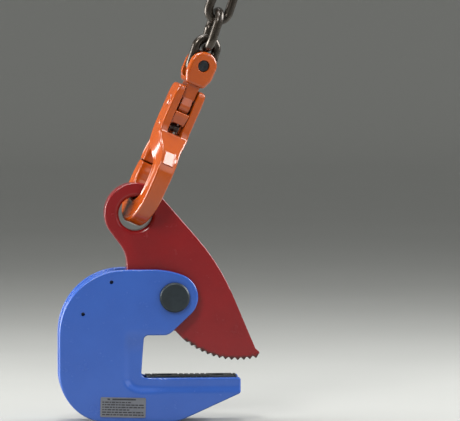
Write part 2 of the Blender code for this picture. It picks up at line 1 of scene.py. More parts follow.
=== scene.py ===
"""Looks of the plate lifting clamp: painted plates, toothed cam, forged hook and chain.

Shapes are drawn in millimetres and become metres when a mesh is made. X points out of the jaw, Y across
the clamp and Z up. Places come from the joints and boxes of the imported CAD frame.
"""

import json
import math
import random

import bmesh
import bpy
import numpy as np
from mathutils import Matrix, Vector, geometry, noise


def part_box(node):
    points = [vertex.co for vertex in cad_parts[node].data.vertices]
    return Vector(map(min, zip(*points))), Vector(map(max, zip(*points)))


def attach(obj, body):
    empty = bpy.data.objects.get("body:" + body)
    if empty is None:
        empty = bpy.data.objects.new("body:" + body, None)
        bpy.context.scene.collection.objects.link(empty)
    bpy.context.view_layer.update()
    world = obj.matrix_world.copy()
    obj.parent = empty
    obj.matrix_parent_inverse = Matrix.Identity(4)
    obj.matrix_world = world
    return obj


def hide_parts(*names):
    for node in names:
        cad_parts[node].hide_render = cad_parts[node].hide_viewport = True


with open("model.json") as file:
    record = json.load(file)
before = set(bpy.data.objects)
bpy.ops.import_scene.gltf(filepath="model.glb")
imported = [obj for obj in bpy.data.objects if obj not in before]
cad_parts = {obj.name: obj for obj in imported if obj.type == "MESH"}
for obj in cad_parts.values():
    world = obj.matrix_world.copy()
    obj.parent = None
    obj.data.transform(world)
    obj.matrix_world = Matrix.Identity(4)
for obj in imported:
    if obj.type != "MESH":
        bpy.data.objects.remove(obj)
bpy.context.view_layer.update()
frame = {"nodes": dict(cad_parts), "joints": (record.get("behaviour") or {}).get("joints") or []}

MM = 0.001
GAP = 0.3
JOINTS = {joint["name"]: joint for joint in frame["joints"]}


# ---------- places taken from the frame ----------


def joint_place(name):
    return Vector(JOINTS[name]["pos_m"]) / MM


def joint_axis(name):
    return Vector(JOINTS[name]["axis"]).normalized()


def box(node):
    low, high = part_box(node)
    return low / MM, high / MM


def axes(x, y, origin):
    """The matrix of a frame with those X and Y axes, in millimetres."""
    matrix = Matrix((x, y, x.cross(y))).transposed().to_4x4()
    matrix.translation = origin
    return matrix


PIVOT = joint_place("cam_swing")
PIVOT_XZ = Vector((PIVOT.x, PIVOT.z))
EYE_PLACE = joint_place("hook_swing")
HOOK = axes(joint_axis("latch_open"), joint_axis("link_1_swing"), EYE_PLACE)
PLATE_LOW, PLATE_HIGH = box("front_side_plate")
OUTER = -PLATE_LOW.y
INNER = -PLATE_HIGH.y
LEFT_X = PLATE_LOW.x
TOP_Z = PLATE_HIGH.z
BOTTOM_Z = PLATE_LOW.z
TIP_X = PLATE_HIGH.x

# clamp frame
CROWN_R = 71.5
HEEL_R = 55.0
BROW_X = -45.5
NOSE_R = 26.0
NOSE_END = -48.0
NOSE_FOOT_X = -28.0
THROAT_TOP = (-55.0, 45.7)
THROAT_FOOT_X = -58.3
JAW_EDGE_Z = -1.5
TIP_LOW_Z = -18.7
UNDERSIDE_X = -19.0
PIN_R = 14.0
LOCATING_HOLES = ((-91.0, 104.7), (-122.3, 69.6))
LOCATING_HOLE_R = 2.0
PLATE_EDGE = 1.9
RELIEF_DEPTH = 3.0
CORE_INSET = 1.0
CORE_CLEAR_R = 57.5
CORE_CROWN_DEG = 97.0
CORE_END_DEG = 172.0
CORE_WALL_INSET = 1.5
LABEL_HALF = (25.0, 11.0)
LABEL_LEAN = -1.5
LABEL_CORNER_R = 1.5
LABEL_SEED = 7

# cam lever, seen from the front with the pivot at the origin
EYE = Vector((EYE_PLACE.x - PIVOT.x, EYE_PLACE.z - PIVOT.z))
EYE_R = 34.0
EYE_HOLE_R = 18.5
EYE_LIP = 4.6
SHOULDER = (50.6, 35.8)
SHOULDER_R = 230.0
CAM_HEEL = (90.4, -58.3)
CAM_TOE = (95.2, -62.4)
TOOTH_CENTRE = Vector((71.0, 18.9))
TOOTH_R = 89.7
TOOTH_SPAN = (283.4, 230.8)
TOOTH_COUNT = 12
TOOTH_DEPTH = 2.6
TOOTH_SHAPE = ((0.0, 0.12), (0.05, 0.0), (0.18, 0.0), (0.46, 0.9), (0.54, 1.0), (0.66, 1.0), (0.72, 0.9))
SMOOTH_END = 219.5
BOSS_R = 37.5
BORE_R = 17.3
NECK_LOW = (-51.7, 8.0)
NECK_TOP = (-51.7, 47.5)
NECK_DEG = 217.0

# hook
HINGE_Z = (HOOK.inverted() @ joint_place("latch_open")).z
TRIGGER_PIN = HOOK.inverted() @ joint_place("trigger_press")
LOAD_PIN_Z = (HOOK.inverted() @ joint_place("link_1_swing")).z
HINGE_PLACE = HOOK @ Matrix.Translation((0, 0, HINGE_Z))
TRIGGER_PLACE = HOOK @ Matrix.Translation((0, TRIGGER_PIN.y, TRIGGER_PIN.z))
PAD_LOW = Vector((0, -40.2, 63.6))
PAD_HIGH = Vector((0, -32.6, 77.6))
BOWL_Z = 34.6
BOWL_R = 20.0
FORK_HALF = 17.5
FORK_DEPTH = 13.0
FORK_TOP = 151.5
SLOT_HALF = 8.5
SLOT_Z = 97.0
TANG_R = 11.0
TANG_HALF = 7.5
EAR_R = 15.5
EAR_HALF = 13.5
EAR_GAP_HALF = 6.5
EAR_GAP_Z = 161.0
ARM_END_Z = 57.3
HINGE_R = 5.0
TRIGGER_PIN_R = 2.5
LOAD_PIN_R = 6.25
FORGED_VOXEL = 0.42

# chain
WIRE_R = 5.0
LINK_BEND_R = 11.75
LINK_SLACK = 0.4


# ---------- outlines ----------


def polar(centre, radius, degrees):
    angle = math.radians(degrees)
    return Vector((centre[0] + radius * math.cos(angle), centre[1] + radius * math.sin(angle)))


def arc(centre, radius, start, end, step=3.0):
    """Points on an arc, both ends included, as outline nodes with no rounding."""
    count = max(1, math.ceil(abs(end - start) / step))
    nodes = []
    for index in range(count + 1):
        point = polar(centre, radius, start + (end - start) * index / count)
        nodes.append((point.x, point.y, 0.0))
    return nodes


def rounded(nodes, step=8.0):
    """Turns nodes (x, z, radius) into points, with an arc of that radius at each corner that has one."""
    points = []
    for index, (x, z, radius) in enumerate(nodes):
        corner = Vector((x, z))
        if radius == 0.0:
            points.append(corner)
            continue
        before = (Vector(nodes[index - 1][:2]) - corner).normalized()
        after = (Vector(nodes[(index + 1) % len(nodes)][:2]) - corner).normalized()
        half = before.angle(after) / 2
        centre = corner + (before + after).normalized() * radius / math.sin(half)
        first = corner + before * radius / math.tan(half) - centre
        last = corner + after * radius / math.tan(half) - centre
        turn = first.angle_signed(last)
        count = max(2, math.ceil(abs(math.degrees(turn)) / step))
        for part in range(count + 1):
            points.append(centre + Matrix.Rotation(-turn * part / count, 2) @ first)
    return points


def circle(centre, radius, count=96):
    return [polar(centre, radius, 360 * index / count) for index in range(count)]


def tidy_loop(points):
    """The loop anticlockwise, without repeated points and with long straight runs divided."""
    longest = 4.0
    kept = []
    for point in points:
        if not kept or (point - kept[-1]).length > 0.1:
            kept.append(Vector(point))
    if (kept[0] - kept[-1]).length <= 0.1:
        kept.pop()
    area = sum(a.cross(b) for a, b in zip(kept, kept[1:] + kept[:1]))
    if area < 0:
        kept.reverse()
    result = []
    for a, b in zip(kept, kept[1:] + kept[:1]):
        parts = max(1, math.ceil((b - a).length / longest))
        result += [a.lerp(b, part / parts) for part in range(parts)]
    return result


def rim(inset, crown_end=90.0):
    """The outer edge shared by side plates and core: tip, underside, heel, back and crown."""
    slope = math.atan2(TIP_LOW_Z - BOTTOM_Z, TIP_X - UNDERSIDE_X)
    rise = inset / math.cos(slope)
    tip_z = TIP_LOW_Z + rise - inset * math.tan(slope)
    foot_x = UNDERSIDE_X - (rise - inset) / math.tan(slope)
    nodes = [(TIP_X - inset, tip_z, 3.5), (foot_x, BOTTOM_Z + inset, 40.0)]
    nodes += arc((LEFT_X + HEEL_R, BOTTOM_Z + HEEL_R), HEEL_R - inset, 270, 180)
    nodes += arc((LEFT_X + CROWN_R, TOP_Z - CROWN_R), CROWN_R - inset, 180, crown_end)
    return nodes


def side_plate_outline():
    height = TOP_Z - PIVOT.z
    reach = PIVOT.x - BROW_X
    brow_r = (reach**2 + height**2 - NOSE_R**2) / (2 * (height - NOSE_R))
    brow_end = math.degrees(math.atan2(brow_r - height, reach))
    nodes = [(TIP_X, JAW_EDGE_Z, 2.5)]
    nodes += rim(0.0)
    nodes += arc((BROW_X, TOP_Z - brow_r), brow_r, 90, brow_end, 2)
    nodes += arc(PIVOT_XZ, NOSE_R, brow_end, NOSE_END)[1:]
    nodes.append((NOSE_FOOT_X, THROAT_TOP[1], 14.0))
    nodes.append((*THROAT_TOP, 5.0))
    nodes.append((THROAT_FOOT_X, JAW_EDGE_Z, 6.0))
    return rounded(nodes)


def core_outline():
    seat_z = box("jaw_pad")[0].z - GAP
    wall_x = THROAT_TOP[0] - CORE_WALL_INSET
    meet = math.degrees(math.acos((wall_x - PIVOT.x) / CORE_CLEAR_R))
    nodes = [(TIP_X - CORE_INSET, seat_z, 2.0)]
    nodes += rim(CORE_INSET, CORE_CROWN_DEG)
    nodes += arc(PIVOT_XZ, CORE_CLEAR_R, CORE_END_DEG, 360 - meet)
    nodes.append((THROAT_FOOT_X - CORE_WALL_INSET, seat_z, 3.0))
    return rounded(nodes)


def touch_angle(centre, radius, point, side):
    """Direction, in degrees, of the place where a line from the point touches the circle."""
    reach = Vector(point) - Vector(centre)
    return math.degrees(math.atan2(reach.y, reach.x) + side * math.acos(radius / reach.length))


def tooth_nodes():
    """The teeth of the cam: each has a narrow land, a sloping flank and a small root."""
    pitch = (TOOTH_SPAN[1] - TOOTH_SPAN[0]) / TOOTH_COUNT
    nodes = []
    for tooth in range(TOOTH_COUNT):
        start = TOOTH_SPAN[0] + pitch * tooth
        for along, depth in TOOTH_SHAPE:
            point = polar(TOOTH_CENTRE, TOOTH_R - TOOTH_DEPTH * depth, start + pitch * along)
            nodes.append((point.x, point.y, 0.0))
    return nodes


def cam_outline():
    eye_end = touch_angle(EYE, EYE_R, SHOULDER, 1)
    boss_start = touch_angle((0, 0), BOSS_R, NECK_LOW, 1)
    nodes = arc(EYE, EYE_R, NECK_DEG, eye_end)
    nodes.append((*SHOULDER, SHOULDER_R))
    nodes.append((*CAM_HEEL, 5.0))
    nodes.append((*CAM_TOE, 1.8))
    nodes += tooth_nodes()
    nodes += arc(TOOTH_CENTRE, TOOTH_R, TOOTH_SPAN[1], SMOOTH_END, 2)
    nodes += arc((0, 0), BOSS_R, 266, boss_start)
    nodes.append((*NECK_LOW, 22.0))
    nodes.append((*NECK_TOP, 36.0))
    return [point + PIVOT_XZ for point in rounded(nodes, 4)]


# ---------- meshes ----------


def offsets(loop):
    """For each point of an anticlockwise loop, the outward step that moves both its edges out by one unit."""
    points = np.array(loop)
    before = points - np.roll(points, 1, 0)
    after = np.roll(points, -1, 0) - points
    normals = []
    for run in (before, after):
        turned = np.stack([run[:, 1], -run[:, 0]], 1)
        normals.append(turned / np.linalg.norm(turned, axis=1, keepdims=True))
    both = normals[0] + normals[1]
    reach = np.minimum(2 / np.maximum((both**2).sum(1), 1e-6), 1.6)
    return both * reach[:, None]


def inside(points, loop):
    """Which points lie inside the loop."""
    x, z = points[:, 0][:, None], points[:, 1][:, None]
    ring = np.array(loop)
    x0, z0 = ring[:, 0][None], ring[:, 1][None]
    x1, z1 = np.roll(ring[:, 0], -1)[None], np.roll(ring[:, 1], -1)[None]
    spans = (z0 > z) != (z1 > z)
    rise = np.where(z1 == z0, 1.0, z1 - z0)
    crosses = spans & (x < (x1 - x0) * (z - z0) / rise + x0)
    return crosses.sum(1) % 2 == 1


def grid_points(rings, spacing):
    """An even triangular grid inside the first ring and outside the others, clear of all of them."""
    border = np.concatenate([np.array(ring) for ring in rings])
    low, high = border.min(0), border.max(0)
    rows = []
    for row, z in enumerate(np.arange(low[1], high[1], spacing * 0.866)):
        x = np.arange(low[0] + (row % 2) * spacing / 2, high[0], spacing)
        rows.append(np.stack([x, np.full(len(x), z)], 1))
    points = np.concatenate(rows)
    keep = inside(points, rings[0])
    for ring in rings[1:]:
        keep &= ~inside(points, ring)
    points = points[keep]
    nearest = np.full(len(points), 1e9)
    for chunk in np.array_split(border, 8):
        distance = np.linalg.norm(points[:, None] - chunk[None], axis=2).min(1)
        nearest = np.minimum(nearest, distance)
    return points[nearest > spacing * 0.6]


def filled(rings, spacing):
    """Triangles over the first ring less the others: the inner points that were added, and the faces."""
    points = [tuple(point) for ring in rings for point in ring]
    edges = []
    start = 0
    for ring in rings:
        count = len(ring)
        edges += [(start + index, start + (index + 1) % count) for index in range(count)]
        start += count
    extra = [tuple(point) for point in grid_points(rings, spacing)]
    coords = [Vector(point) for point in points + extra]
    found, _, faces, sources, _, _ = geometry.delaunay_2d_cdt(coords, edges, [], 0, 1e-5)
    source = []
    for point, origin in zip(found, sources):
        if origin:
            source.append(origin[0])
        else:
            source.append(len(coords))
            coords.append(point)
            extra.append(tuple(point))
    faces = [tuple(source[corner] for corner in face) for face in faces]
    flat = np.array([tuple(point) for point in coords])
    centres = flat[np.array(faces)].mean(1)
    keep = inside(centres, rings[0])
    for ring in rings[1:]:
        keep &= ~inside(centres, ring)
    return extra, [face for face, kept in zip(faces, keep) if kept]


def plate(outline, holes, front, back, edge, spacing=5.0, steps=4, relief=None):
    """A plate in the XZ plane with rounded edges.

    holes are (loop, edge radius, steps); edge is a radius or a function of a point; relief is a function of
    (x, z) that gives how far the front face is sunk there.
    """
    loops = [(outline, edge, steps, 1.0)]
    loops += [(loop, radius, count, -1.0) for loop, radius, count in holes]
    verts = []
    faces = []
    rims = []
    for loop, radius, count, outward in loops:
        flat = np.array(loop)
        away = offsets(loop) * outward
        if callable(radius):
            size = np.array([radius(point) for point in loop])
        else:
            size = np.full(len(loop), float(radius))
        rows = []
        for side, level in ((1, front), (-1, back)):
            turns = range(count + 1) if side == 1 else range(count, -1, -1)
            for turn in turns:
                angle = math.pi / 2 * turn / count
                place = flat - away * (size * (1 - math.sin(angle)))[:, None]
                depth = level + side * size * (1 - math.cos(angle))
                if side == 1 and relief is not None:
                    depth = depth + np.array([relief(x, z) for x, z in place])
                rows.append(range(len(verts), len(verts) + len(loop)))
                verts += [(x, y, z) for (x, z), y in zip(place, depth)]
        for low, high in zip(rows, rows[1:]):
            for index in range(len(loop)):
                after = (index + 1) % len(loop)
                faces.append((low[index], low[after], high[after], high[index]))
        rims.append((rows[0], rows[-1]))
    rings = [[Vector((verts[index][0], verts[index][2])) for index in pair[0]] for pair in rims]
    extra, triangles = filled(rings, spacing)
    for end, level in ((0, front), (1, back)):
        numbers = [index for pair in rims for index in pair[end]]
        numbers += range(len(verts), len(verts) + len(extra))
        for x, z in extra:
            sunk = relief(x, z) if end == 0 and relief is not None else 0.0
            verts.append((x, level + sunk, z))
        faces += [tuple(numbers[corner] for corner in triangle) for triangle in triangles]
    mesh = bmesh.new()
    points = [mesh.verts.new(vert) for vert in verts]
    for face in faces:
        mesh.faces.new([points[corner] for corner in face])
    bmesh.ops.recalc_face_normals(mesh, faces=mesh.faces)
    return mesh


def placed(axis, level, a, b):
    """The point at that level along X or Y, with a and b across it."""
    return (level, a, b) if axis == "X" else (a, level, b)


def prism(outline, low, high, axis="Y"):
    """A solid with the outline's shape, from low to high along the axis."""
    return lofted([[placed(axis, level, a, b) for a, b in outline] for level in (low, high)])


def turned(profile, segments=64, axis="Y"):
    """A solid of revolution from (radius, height) pairs."""
    rings = []
    for radius, height in profile:
        row = []
        for index in range(segments):
            angle = 2 * math.pi * index / segments
            row.append(placed(axis, height, radius * math.cos(angle), radius * math.sin(angle)))
        rings.append(row)
    return lofted(rings)


def drill(radius, reach, segments, place=(0, 0, 0), axis="X"):
    """The cutter for a pin's hole, which is a gap wider than the pin."""
    mesh = turned([(radius + GAP, -reach), (radius + GAP, reach)], segments, axis)
    bmesh.ops.translate(mesh, verts=mesh.verts, vec=place)
    return mesh


def both_ends(profile):
    """The profile followed by its mirror image at the far end."""
    return profile + [(radius, -height) for radius, height in reversed(profile)]


def lofted(rings, closed=False):
    """A solid through rings of points; closed=True joins the last ring to the first."""
    mesh = bmesh.new()
    rows = [[mesh.verts.new(point) for point in ring] for ring in rings]
    pairs = list(zip(rows, rows[1:]))
    if closed:
        pairs.append((rows[-1], rows[0]))
    for low, high in pairs:
        for index in range(len(low)):
            after = (index + 1) % len(low)
            mesh.faces.new((low[index], low[after], high[after], high[index]))
    if not closed:
        mesh.faces.new(rows[0])
        mesh.faces.new(rows[-1])
    bmesh.ops.recalc_face_normals(mesh, faces=mesh.faces)
    return mesh


def spline(stations, steps):
    """Catmull-Rom points through stations, each a tuple of the same length."""
    ends = [stations[0], *stations, stations[-1]]
    result = []
    for index in range(len(stations) - 1):
        a, b, c, d = (ends[index + offset] for offset in range(4))
        for step in range(steps):
            t = step / steps
            values = []
            for p, q, r, s in zip(a, b, c, d):
                bend = 2 * p - 5 * q + 4 * r - s
                twist = 3 * q - p - 3 * r + s
                values.append(0.5 * (2 * q + (r - p) * t + bend * t * t + twist * t**3))
            result.append(tuple(values))
    result.append(stations[-1])
    return result


def bar_section(half_x, half_side, corner, centre, side, groove):
    """A rectangular bar section with rounded corners and hollowed flanks, across X and the side direction."""
    per_corner = 7
    corner = min(corner, half_x - 0.1, half_side - 0.1)
    ring = []
    for quarter in range(4):
        for part in range(per_corner):
            angle = math.radians(90 * (quarter + part / (per_corner - 1)))
            middle = math.radians(45 + 90 * quarter)
            x = math.copysign(half_x - corner, math.cos(middle)) + corner * math.cos(angle)
            y = math.copysign(half_side - corner, math.sin(middle)) + corner * math.sin(angle)
            ring.append(Vector((x, 0, 0)) + centre + side * y)
        if quarter % 2 == 1:
            out = 1 if quarter == 3 else -1
            for part in range(1, 20):
                across = 1 - part / 10
                hollow = groove * smoothstep((1 - abs(across)) / 0.25)
                x = out * (half_x - hollow)
                ring.append(Vector((x, 0, 0)) + centre - side * (out * across * (half_side - corner)))
    return ring


def swept_bar(stations, steps):
    """A bar along stations (y, z, half depth, half width, corner radius, flank hollow) in the YZ plane."""
    path = spline(stations, steps)
    rings = []
    for index, (y, z, depth, width, corner, groove) in enumerate(path):
        before = path[max(0, index - 1)]
        after = path[min(len(path) - 1, index + 1)]
        along = Vector((0, after[0] - before[0], after[1] - before[1])).normalized()
        side = Vector((0, -along.z, along.y))
        rings.append(bar_section(width, depth, corner, Vector((0, y, z)), side, groove))
    return lofted(rings)


def tube_along(path, radius, count=10, closed=False):
    """A round bar along points; radius is a number or a list with one radius for each point."""
    rings = []
    last = len(path) - 1
    normal = None
    for index, point in enumerate(path):
        if closed:
            along = (path[(index + 1) % len(path)] - path[index - 1]).normalized()
        else:
            along = (path[min(index + 1, last)] - path[max(index - 1, 0)]).normalized()
        if normal is None:
            normal = along.orthogonal().normalized()
        normal = (normal - along * normal.dot(along)).normalized()
        across = along.cross(normal)
        size = radius[index] if isinstance(radius, list) else radius
        ring = []
        for part in range(count):
            angle = 2 * math.pi * part / count
            ring.append(point + (normal * math.cos(angle) + across * math.sin(angle)) * size)
        rings.append(ring)
    return lofted(rings, closed)


def block(x, y, z):
    """A box between the given pairs of limits."""
    return prism([(x[0], z[0]), (x[1], z[0]), (x[1], z[1]), (x[0], z[1])], y[0], y[1])


# ---------- objects ----------


def add(name, mesh, place=None, sharp=35.0):
    """Makes an object from a mesh in millimetres, moved by the matrix, shaded smooth."""
    if place is not None:
        bmesh.ops.transform(mesh, matrix=place, verts=mesh.verts)
    bmesh.ops.scale(mesh, verts=mesh.verts, vec=(MM, MM, MM))
    data = bpy.data.meshes.new(name)
    mesh.to_mesh(data)
    mesh.free()
    data.shade_smooth()
    data.set_sharp_from_angle(angle=math.radians(sharp))
    piece = bpy.data.objects.new(name, data)
    bpy.context.collection.objects.link(piece)
    return piece


def bake(piece, sharp=35.0):
    """Applies the piece's modifiers."""
    bpy.context.view_layer.update()
    result = piece.evaluated_get(bpy.context.evaluated_depsgraph_get())
    data = bpy.data.meshes.new_from_object(result)
    piece.modifiers.clear()
    piece.data = data
    data.shade_smooth()
    data.set_sharp_from_angle(angle=math.radians(sharp))
    return piece


def carve(piece, cutters, union=False):
    """Takes meshes away from the piece, or joins them on, and leaves the piece with the result."""
    tools = []
    for mesh in cutters:
        tool = add("tool", mesh)
        modifier = piece.modifiers.new("Cut", "BOOLEAN")
        modifier.operation = "UNION" if union else "DIFFERENCE"
        modifier.object = tool
        tools.append(tool)
    bake(piece)
    for tool in tools:
        bpy.data.objects.remove(tool)
    return piece


def skin(piece, voxel):
    """Gives the piece one even skin with its edges eased, as forging and thick paint leave them."""
    remesh = piece.modifiers.new("Skin", "REMESH")
    remesh.mode = "VOXEL"
    remesh.voxel_size = voxel * MM * 1.0
    smooth = piece.modifiers.new("Ease", "SMOOTH")
    smooth.factor = 0.5
    smooth.iterations = 3
    return bake(piece, 180.0)


def settle(piece, matrix):
    """Moves the piece's mesh, drawn in millimetres about another frame, to its place."""
    place = matrix.copy()
    place.translation = matrix.translation * MM
    piece.data.transform(place)
    return piece


def keep_flat(piece):
    """Shades flat faces flat and rounded edges round."""
    modifier = piece.modifiers.new("Normals", "WEIGHTED_NORMAL")
    modifier.keep_sharp = True
    modifier.weight = 80
    return piece


def finish_piece(piece, body, nodes, finish):
    """Attaches the piece to its body, hides the CAD nodes it stands for and gives it the material of its
    finish; the finish's record slot is not used.
    """
    slot, material = finish
    piece.data.materials.clear()
    piece.data.materials.append(material)
    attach(piece, body)
    if nodes:
        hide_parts(*nodes)
    return piece


def refined(node, body, finish, width):
    """A copy of a CAD node's shape with its facets joined and its edges broken."""
    mesh = bmesh.new()
    mesh.from_mesh(frame["nodes"][node].data)
    bmesh.ops.remove_doubles(mesh, verts=mesh.verts, dist=0.00001)
    bmesh.ops.dissolve_limit(mesh, angle_limit=math.radians(1.0), verts=mesh.verts, edges=mesh.edges)
    bmesh.ops.scale(mesh, verts=mesh.verts, vec=(1 / MM, 1 / MM, 1 / MM))
    piece = add(node + "_fine", mesh)
    modifier = piece.modifiers.new("Edges", "BEVEL")
    modifier.width = width * MM
    modifier.segments = 2
    modifier.limit_method = "ANGLE"
    modifier.angle_limit = math.radians(40)
    bake(piece)
    return finish_piece(piece, body, [node], finish)


# ---------- materials ----------


class Nodes:
    """Short calls for building one material's node tree."""

    def __init__(self, name):
        self.material = bpy.data.materials.new(name)
        self.material.use_nodes = True
        self.tree = self.material.node_tree
        self.shader = self.tree.nodes["Principled BSDF"]
        self.place = self.new("TexCoord").outputs["Object"]

    def new(self, kind, inputs=None, **values):
        """A shader node with its properties set and its inputs fed."""
        node = self.tree.nodes.new("ShaderNode" + kind)
        for key, value in values.items():
            setattr(node, key, value)
        for key, value in (inputs or {}).items():
            self.feed(value, node.inputs[key])
        return node

    def feed(self, value, socket):
        """Joins an output to the socket, or sets the socket to a plain value."""
        if hasattr(value, "links"):
            self.tree.links.new(value, socket)
        else:
            socket.default_value = value

    def set(self, **values):
        for key, value in values.items():
            self.feed(value, self.shader.inputs[key.replace("_", " ")])

    def noise(self, scale, detail, rough, place=None):
        inputs = {"Scale": scale, "Detail": detail, "Roughness": rough, "Vector": place or self.place}
        return self.new("TexNoise", inputs).outputs["Fac"]

    def stretch(self, scale):
        return self.new("Mapping", {"Scale": scale, "Vector": self.place}).outputs["Vector"]

    def ramp(self, value, low, high, out_low=0.0, out_high=1.0, smooth=True):
        inputs = {"From Min": low, "From Max": high, "To Min": out_low, "To Max": out_high, "Value": value}
        kind = "SMOOTHSTEP" if smooth else "LINEAR"
        return self.new("MapRange", inputs, interpolation_type=kind).outputs["Result"]

    def maths(self, operation, a, b):
        return self.new("Math", {0: a, 1: b}, operation=operation).outputs["Value"]

    def vector(self, operation, inputs):
        return self.new("VectorMath", inputs, operation=operation).outputs

    def mix(self, share, a, b):
        """A mix of two colours."""
        a, b = ((*value, 1.0) if isinstance(value, tuple) else value for value in (a, b))
        return self.new("Mix", {0: share, 6: a, 7: b}, data_type="RGBA").outputs[2]

    def blend(self, share, a, b):
        """A mix of two numbers."""
        return self.new("Mix", {0: share, 2: a, 3: b}, data_type="FLOAT").outputs[0]

    def bump(self, height, distance, strength, below=None):
        inputs = {"Distance": distance, "Strength": strength, "Height": height}
        if below is not None:
            inputs["Normal"] = below
        return self.new("Bump", inputs).outputs["Normal"]

    def pointiness(self):
        return self.new("NewGeometry").outputs["Pointiness"]

    def hollows(self, distance):
        """How open a point is to the air: near 0 in a crevice, 1 on an open face."""
        return self.new("AmbientOcclusion", {"Distance": distance}, samples=6).outputs["AO"]


def paint(slot, name, colour, shade, gloss, peel, coat, wear=None):
    """Shop paint on steel: faint orange peel, uneven thickness, painted shade in corners and crevices and a
    few bare edges.

    wear names a point attribute that is 1 where the paint is worn to dark steel.
    """
    n = Nodes(name)
    cloud = n.ramp(n.noise(18.0, 4.0, 0.6), 0.3, 0.7)
    body = n.mix(cloud, colour, shade)
    # painted shade: the paint colour is darkened where ambient occlusion finds corners and crevices
    open_air = n.hollows(0.010)
    painted_crevice_shade = n.ramp(open_air, 0.25, 0.9, 0.55, 0.0)
    body = n.mix(painted_crevice_shade, body, tuple(value * 0.35 for value in shade))
    specks = n.noise(900.0, 2.0, 0.6)
    dust = n.ramp(specks, 0.66, 0.74, 0.0, 0.06)
    body = n.mix(dust, body, (0.55, 0.52, 0.48))
    edge = n.ramp(n.pointiness(), 0.56, 0.60)
    patch = n.ramp(n.noise(160.0, 5.0, 0.7), 0.55, 0.60)
    chip = n.maths("MULTIPLY", edge, patch)
    body = n.mix(chip, body, (0.10, 0.095, 0.09))
    scuff = n.ramp(n.noise(70.0, 8.0, 0.72), 0.58, 0.75, 0.0, 0.14)
    rough = n.maths("ADD", n.ramp(cloud, 0.0, 1.0, gloss, gloss + 0.07, False), scuff)
    rough = n.maths("ADD", rough, n.maths("MULTIPLY", chip, 0.2))
    wave = n.bump(n.noise(55.0, 2.0, 0.4), 0.00025, 0.35)
    skin_bump = n.bump(n.noise(620.0, 2.0, 0.45), 0.00004 * peel, 0.6, wave)
    if wear:
        bare = n.new("Attribute", attribute_name=wear).outputs["Fac"]
        body = n.mix(bare, body, (0.045, 0.036, 0.032))
        rough = n.blend(bare, rough, 0.45)
        n.set(Metallic=n.blend(bare, 0.0, 0.75))
    n.set(Base_Color=body, Roughness=rough, Normal=skin_bump)
    n.set(Coat_Weight=coat, Coat_Roughness=0.06, Specular_IOR_Level=0.5)
    return slot, n.material


def steel(slot, name, colour, shade, rough, metal, grain=(1, 1, 1), oil=0.0, pits=0.5, rust=0.0):
    """Bare or oxidised steel: fine tooling grain, smudges of oil, small pits, and sharp edges lightened,
    partly as rubbed bright metal and partly as painted highlight.
    """
    n = Nodes(name)
    smudge = n.ramp(n.noise(60.0, 5.0, 0.65), 0.35, 0.7)
    body = n.mix(smudge, colour, shade)
    # sharp edges lightened: partly rubbed bright metal, partly a painted highlight
    edge_wear_and_sheen = n.ramp(n.pointiness(), 0.52, 0.60, 0.0, 0.6)
    bright = tuple(min(1.0, value * 2.4 + 0.06) for value in colour)
    body = n.mix(edge_wear_and_sheen, body, bright)
    if rust:
        bloom = n.ramp(n.noise(120.0, 6.0, 0.7), 0.60, 0.72, 0.0, rust)
        body = n.mix(bloom, body, (0.10, 0.045, 0.02))
    line = n.noise(260.0, 3.0, 0.6, n.stretch(grain))
    pit = n.noise(420.0, 3.0, 0.6)
    base = n.bump(line, 0.00005, 0.5)
    normal = n.bump(pit, 0.00008 * pits, 0.6, base)
    worn = n.ramp(smudge, 0.0, 1.0, rough, rough + 0.14, False)
    value = n.maths("ADD", worn, n.ramp(line, 0.3, 0.7, -0.05, 0.06))
    n.set(Base_Color=body, Roughness=value, Metallic=metal, Normal=normal)
    if oil:
        n.set(Coat_Weight=oil, Coat_Roughness=0.18)
    return slot, n.material


def turned_steel(slot, name, colour, centre, rough):
    """A turned face with fine rings about its centre, black oxide over them, and sharp edges lightened,
    partly as rubbed metal and partly as painted highlight.
    """
    n = Nodes(name)
    shift = n.vector("SUBTRACT", {0: n.place, 1: tuple(value * MM for value in centre)})["Vector"]
    flat = n.vector("MULTIPLY", {0: shift, 1: (1.0, 0.0, 1.0)})["Vector"]
    scaled = n.maths("MULTIPLY", n.vector("LENGTH", {0: flat})["Value"], 2600.0)
    ring = n.noise(1.0, 2.0, 0.6, n.new("CombineXYZ", {0: scaled}).outputs["Vector"])
    smudge = n.ramp(n.noise(90.0, 5.0, 0.6), 0.35, 0.7)
    body = n.mix(smudge, colour, tuple(value * 0.7 for value in colour))
    # sharp edges lightened: partly rubbed metal, partly a painted highlight
    edge_wear_and_sheen = n.ramp(n.pointiness(), 0.52, 0.62, 0.0, 0.35)
    body = n.mix(edge_wear_and_sheen, body, (0.16, 0.17, 0.18))
    value = n.ramp(smudge, 0.0, 1.0, rough, rough + 0.12, False)
    n.set(Base_Color=body, Roughness=value, Metallic=0.55, Normal=n.bump(ring, 0.00003, 0.55))
    n.set(Coat_Weight=0.15, Coat_Roughness=0.3)
    return slot, n.material


def foil(slot, name):
    """The rating plate's brushed foil, a little dull and dusty."""
    n = Nodes(name)
    line = n.noise(300.0, 3.0, 0.6, n.stretch((0.06, 1.0, 1.0)))
    dull = n.ramp(n.noise(60.0, 4.0, 0.6), 0.35, 0.7)
    body = n.mix(dull, (0.20, 0.21, 0.24), (0.15, 0.16, 0.19))
    body = n.mix(n.ramp(line, 0.3, 0.7, 0.0, 0.25), body, (0.28, 0.29, 0.31))
    n.set(Base_Color=body, Roughness=n.ramp(line, 0.3, 0.7, 0.38, 0.5), Metallic=0.5)
    n.set(Normal=n.bump(line, 0.00002, 0.4))
    return slot, n.material


def ink(slot, name):
    """Dark printed ink, slightly worn."""
    n = Nodes(name)
    worn = n.ramp(n.noise(700.0, 3.0, 0.6), 0.4, 0.7)
    n.set(Base_Color=n.mix(worn, (0.012, 0.013, 0.018), (0.05, 0.05, 0.055)), Roughness=0.5)
    return slot, n.material


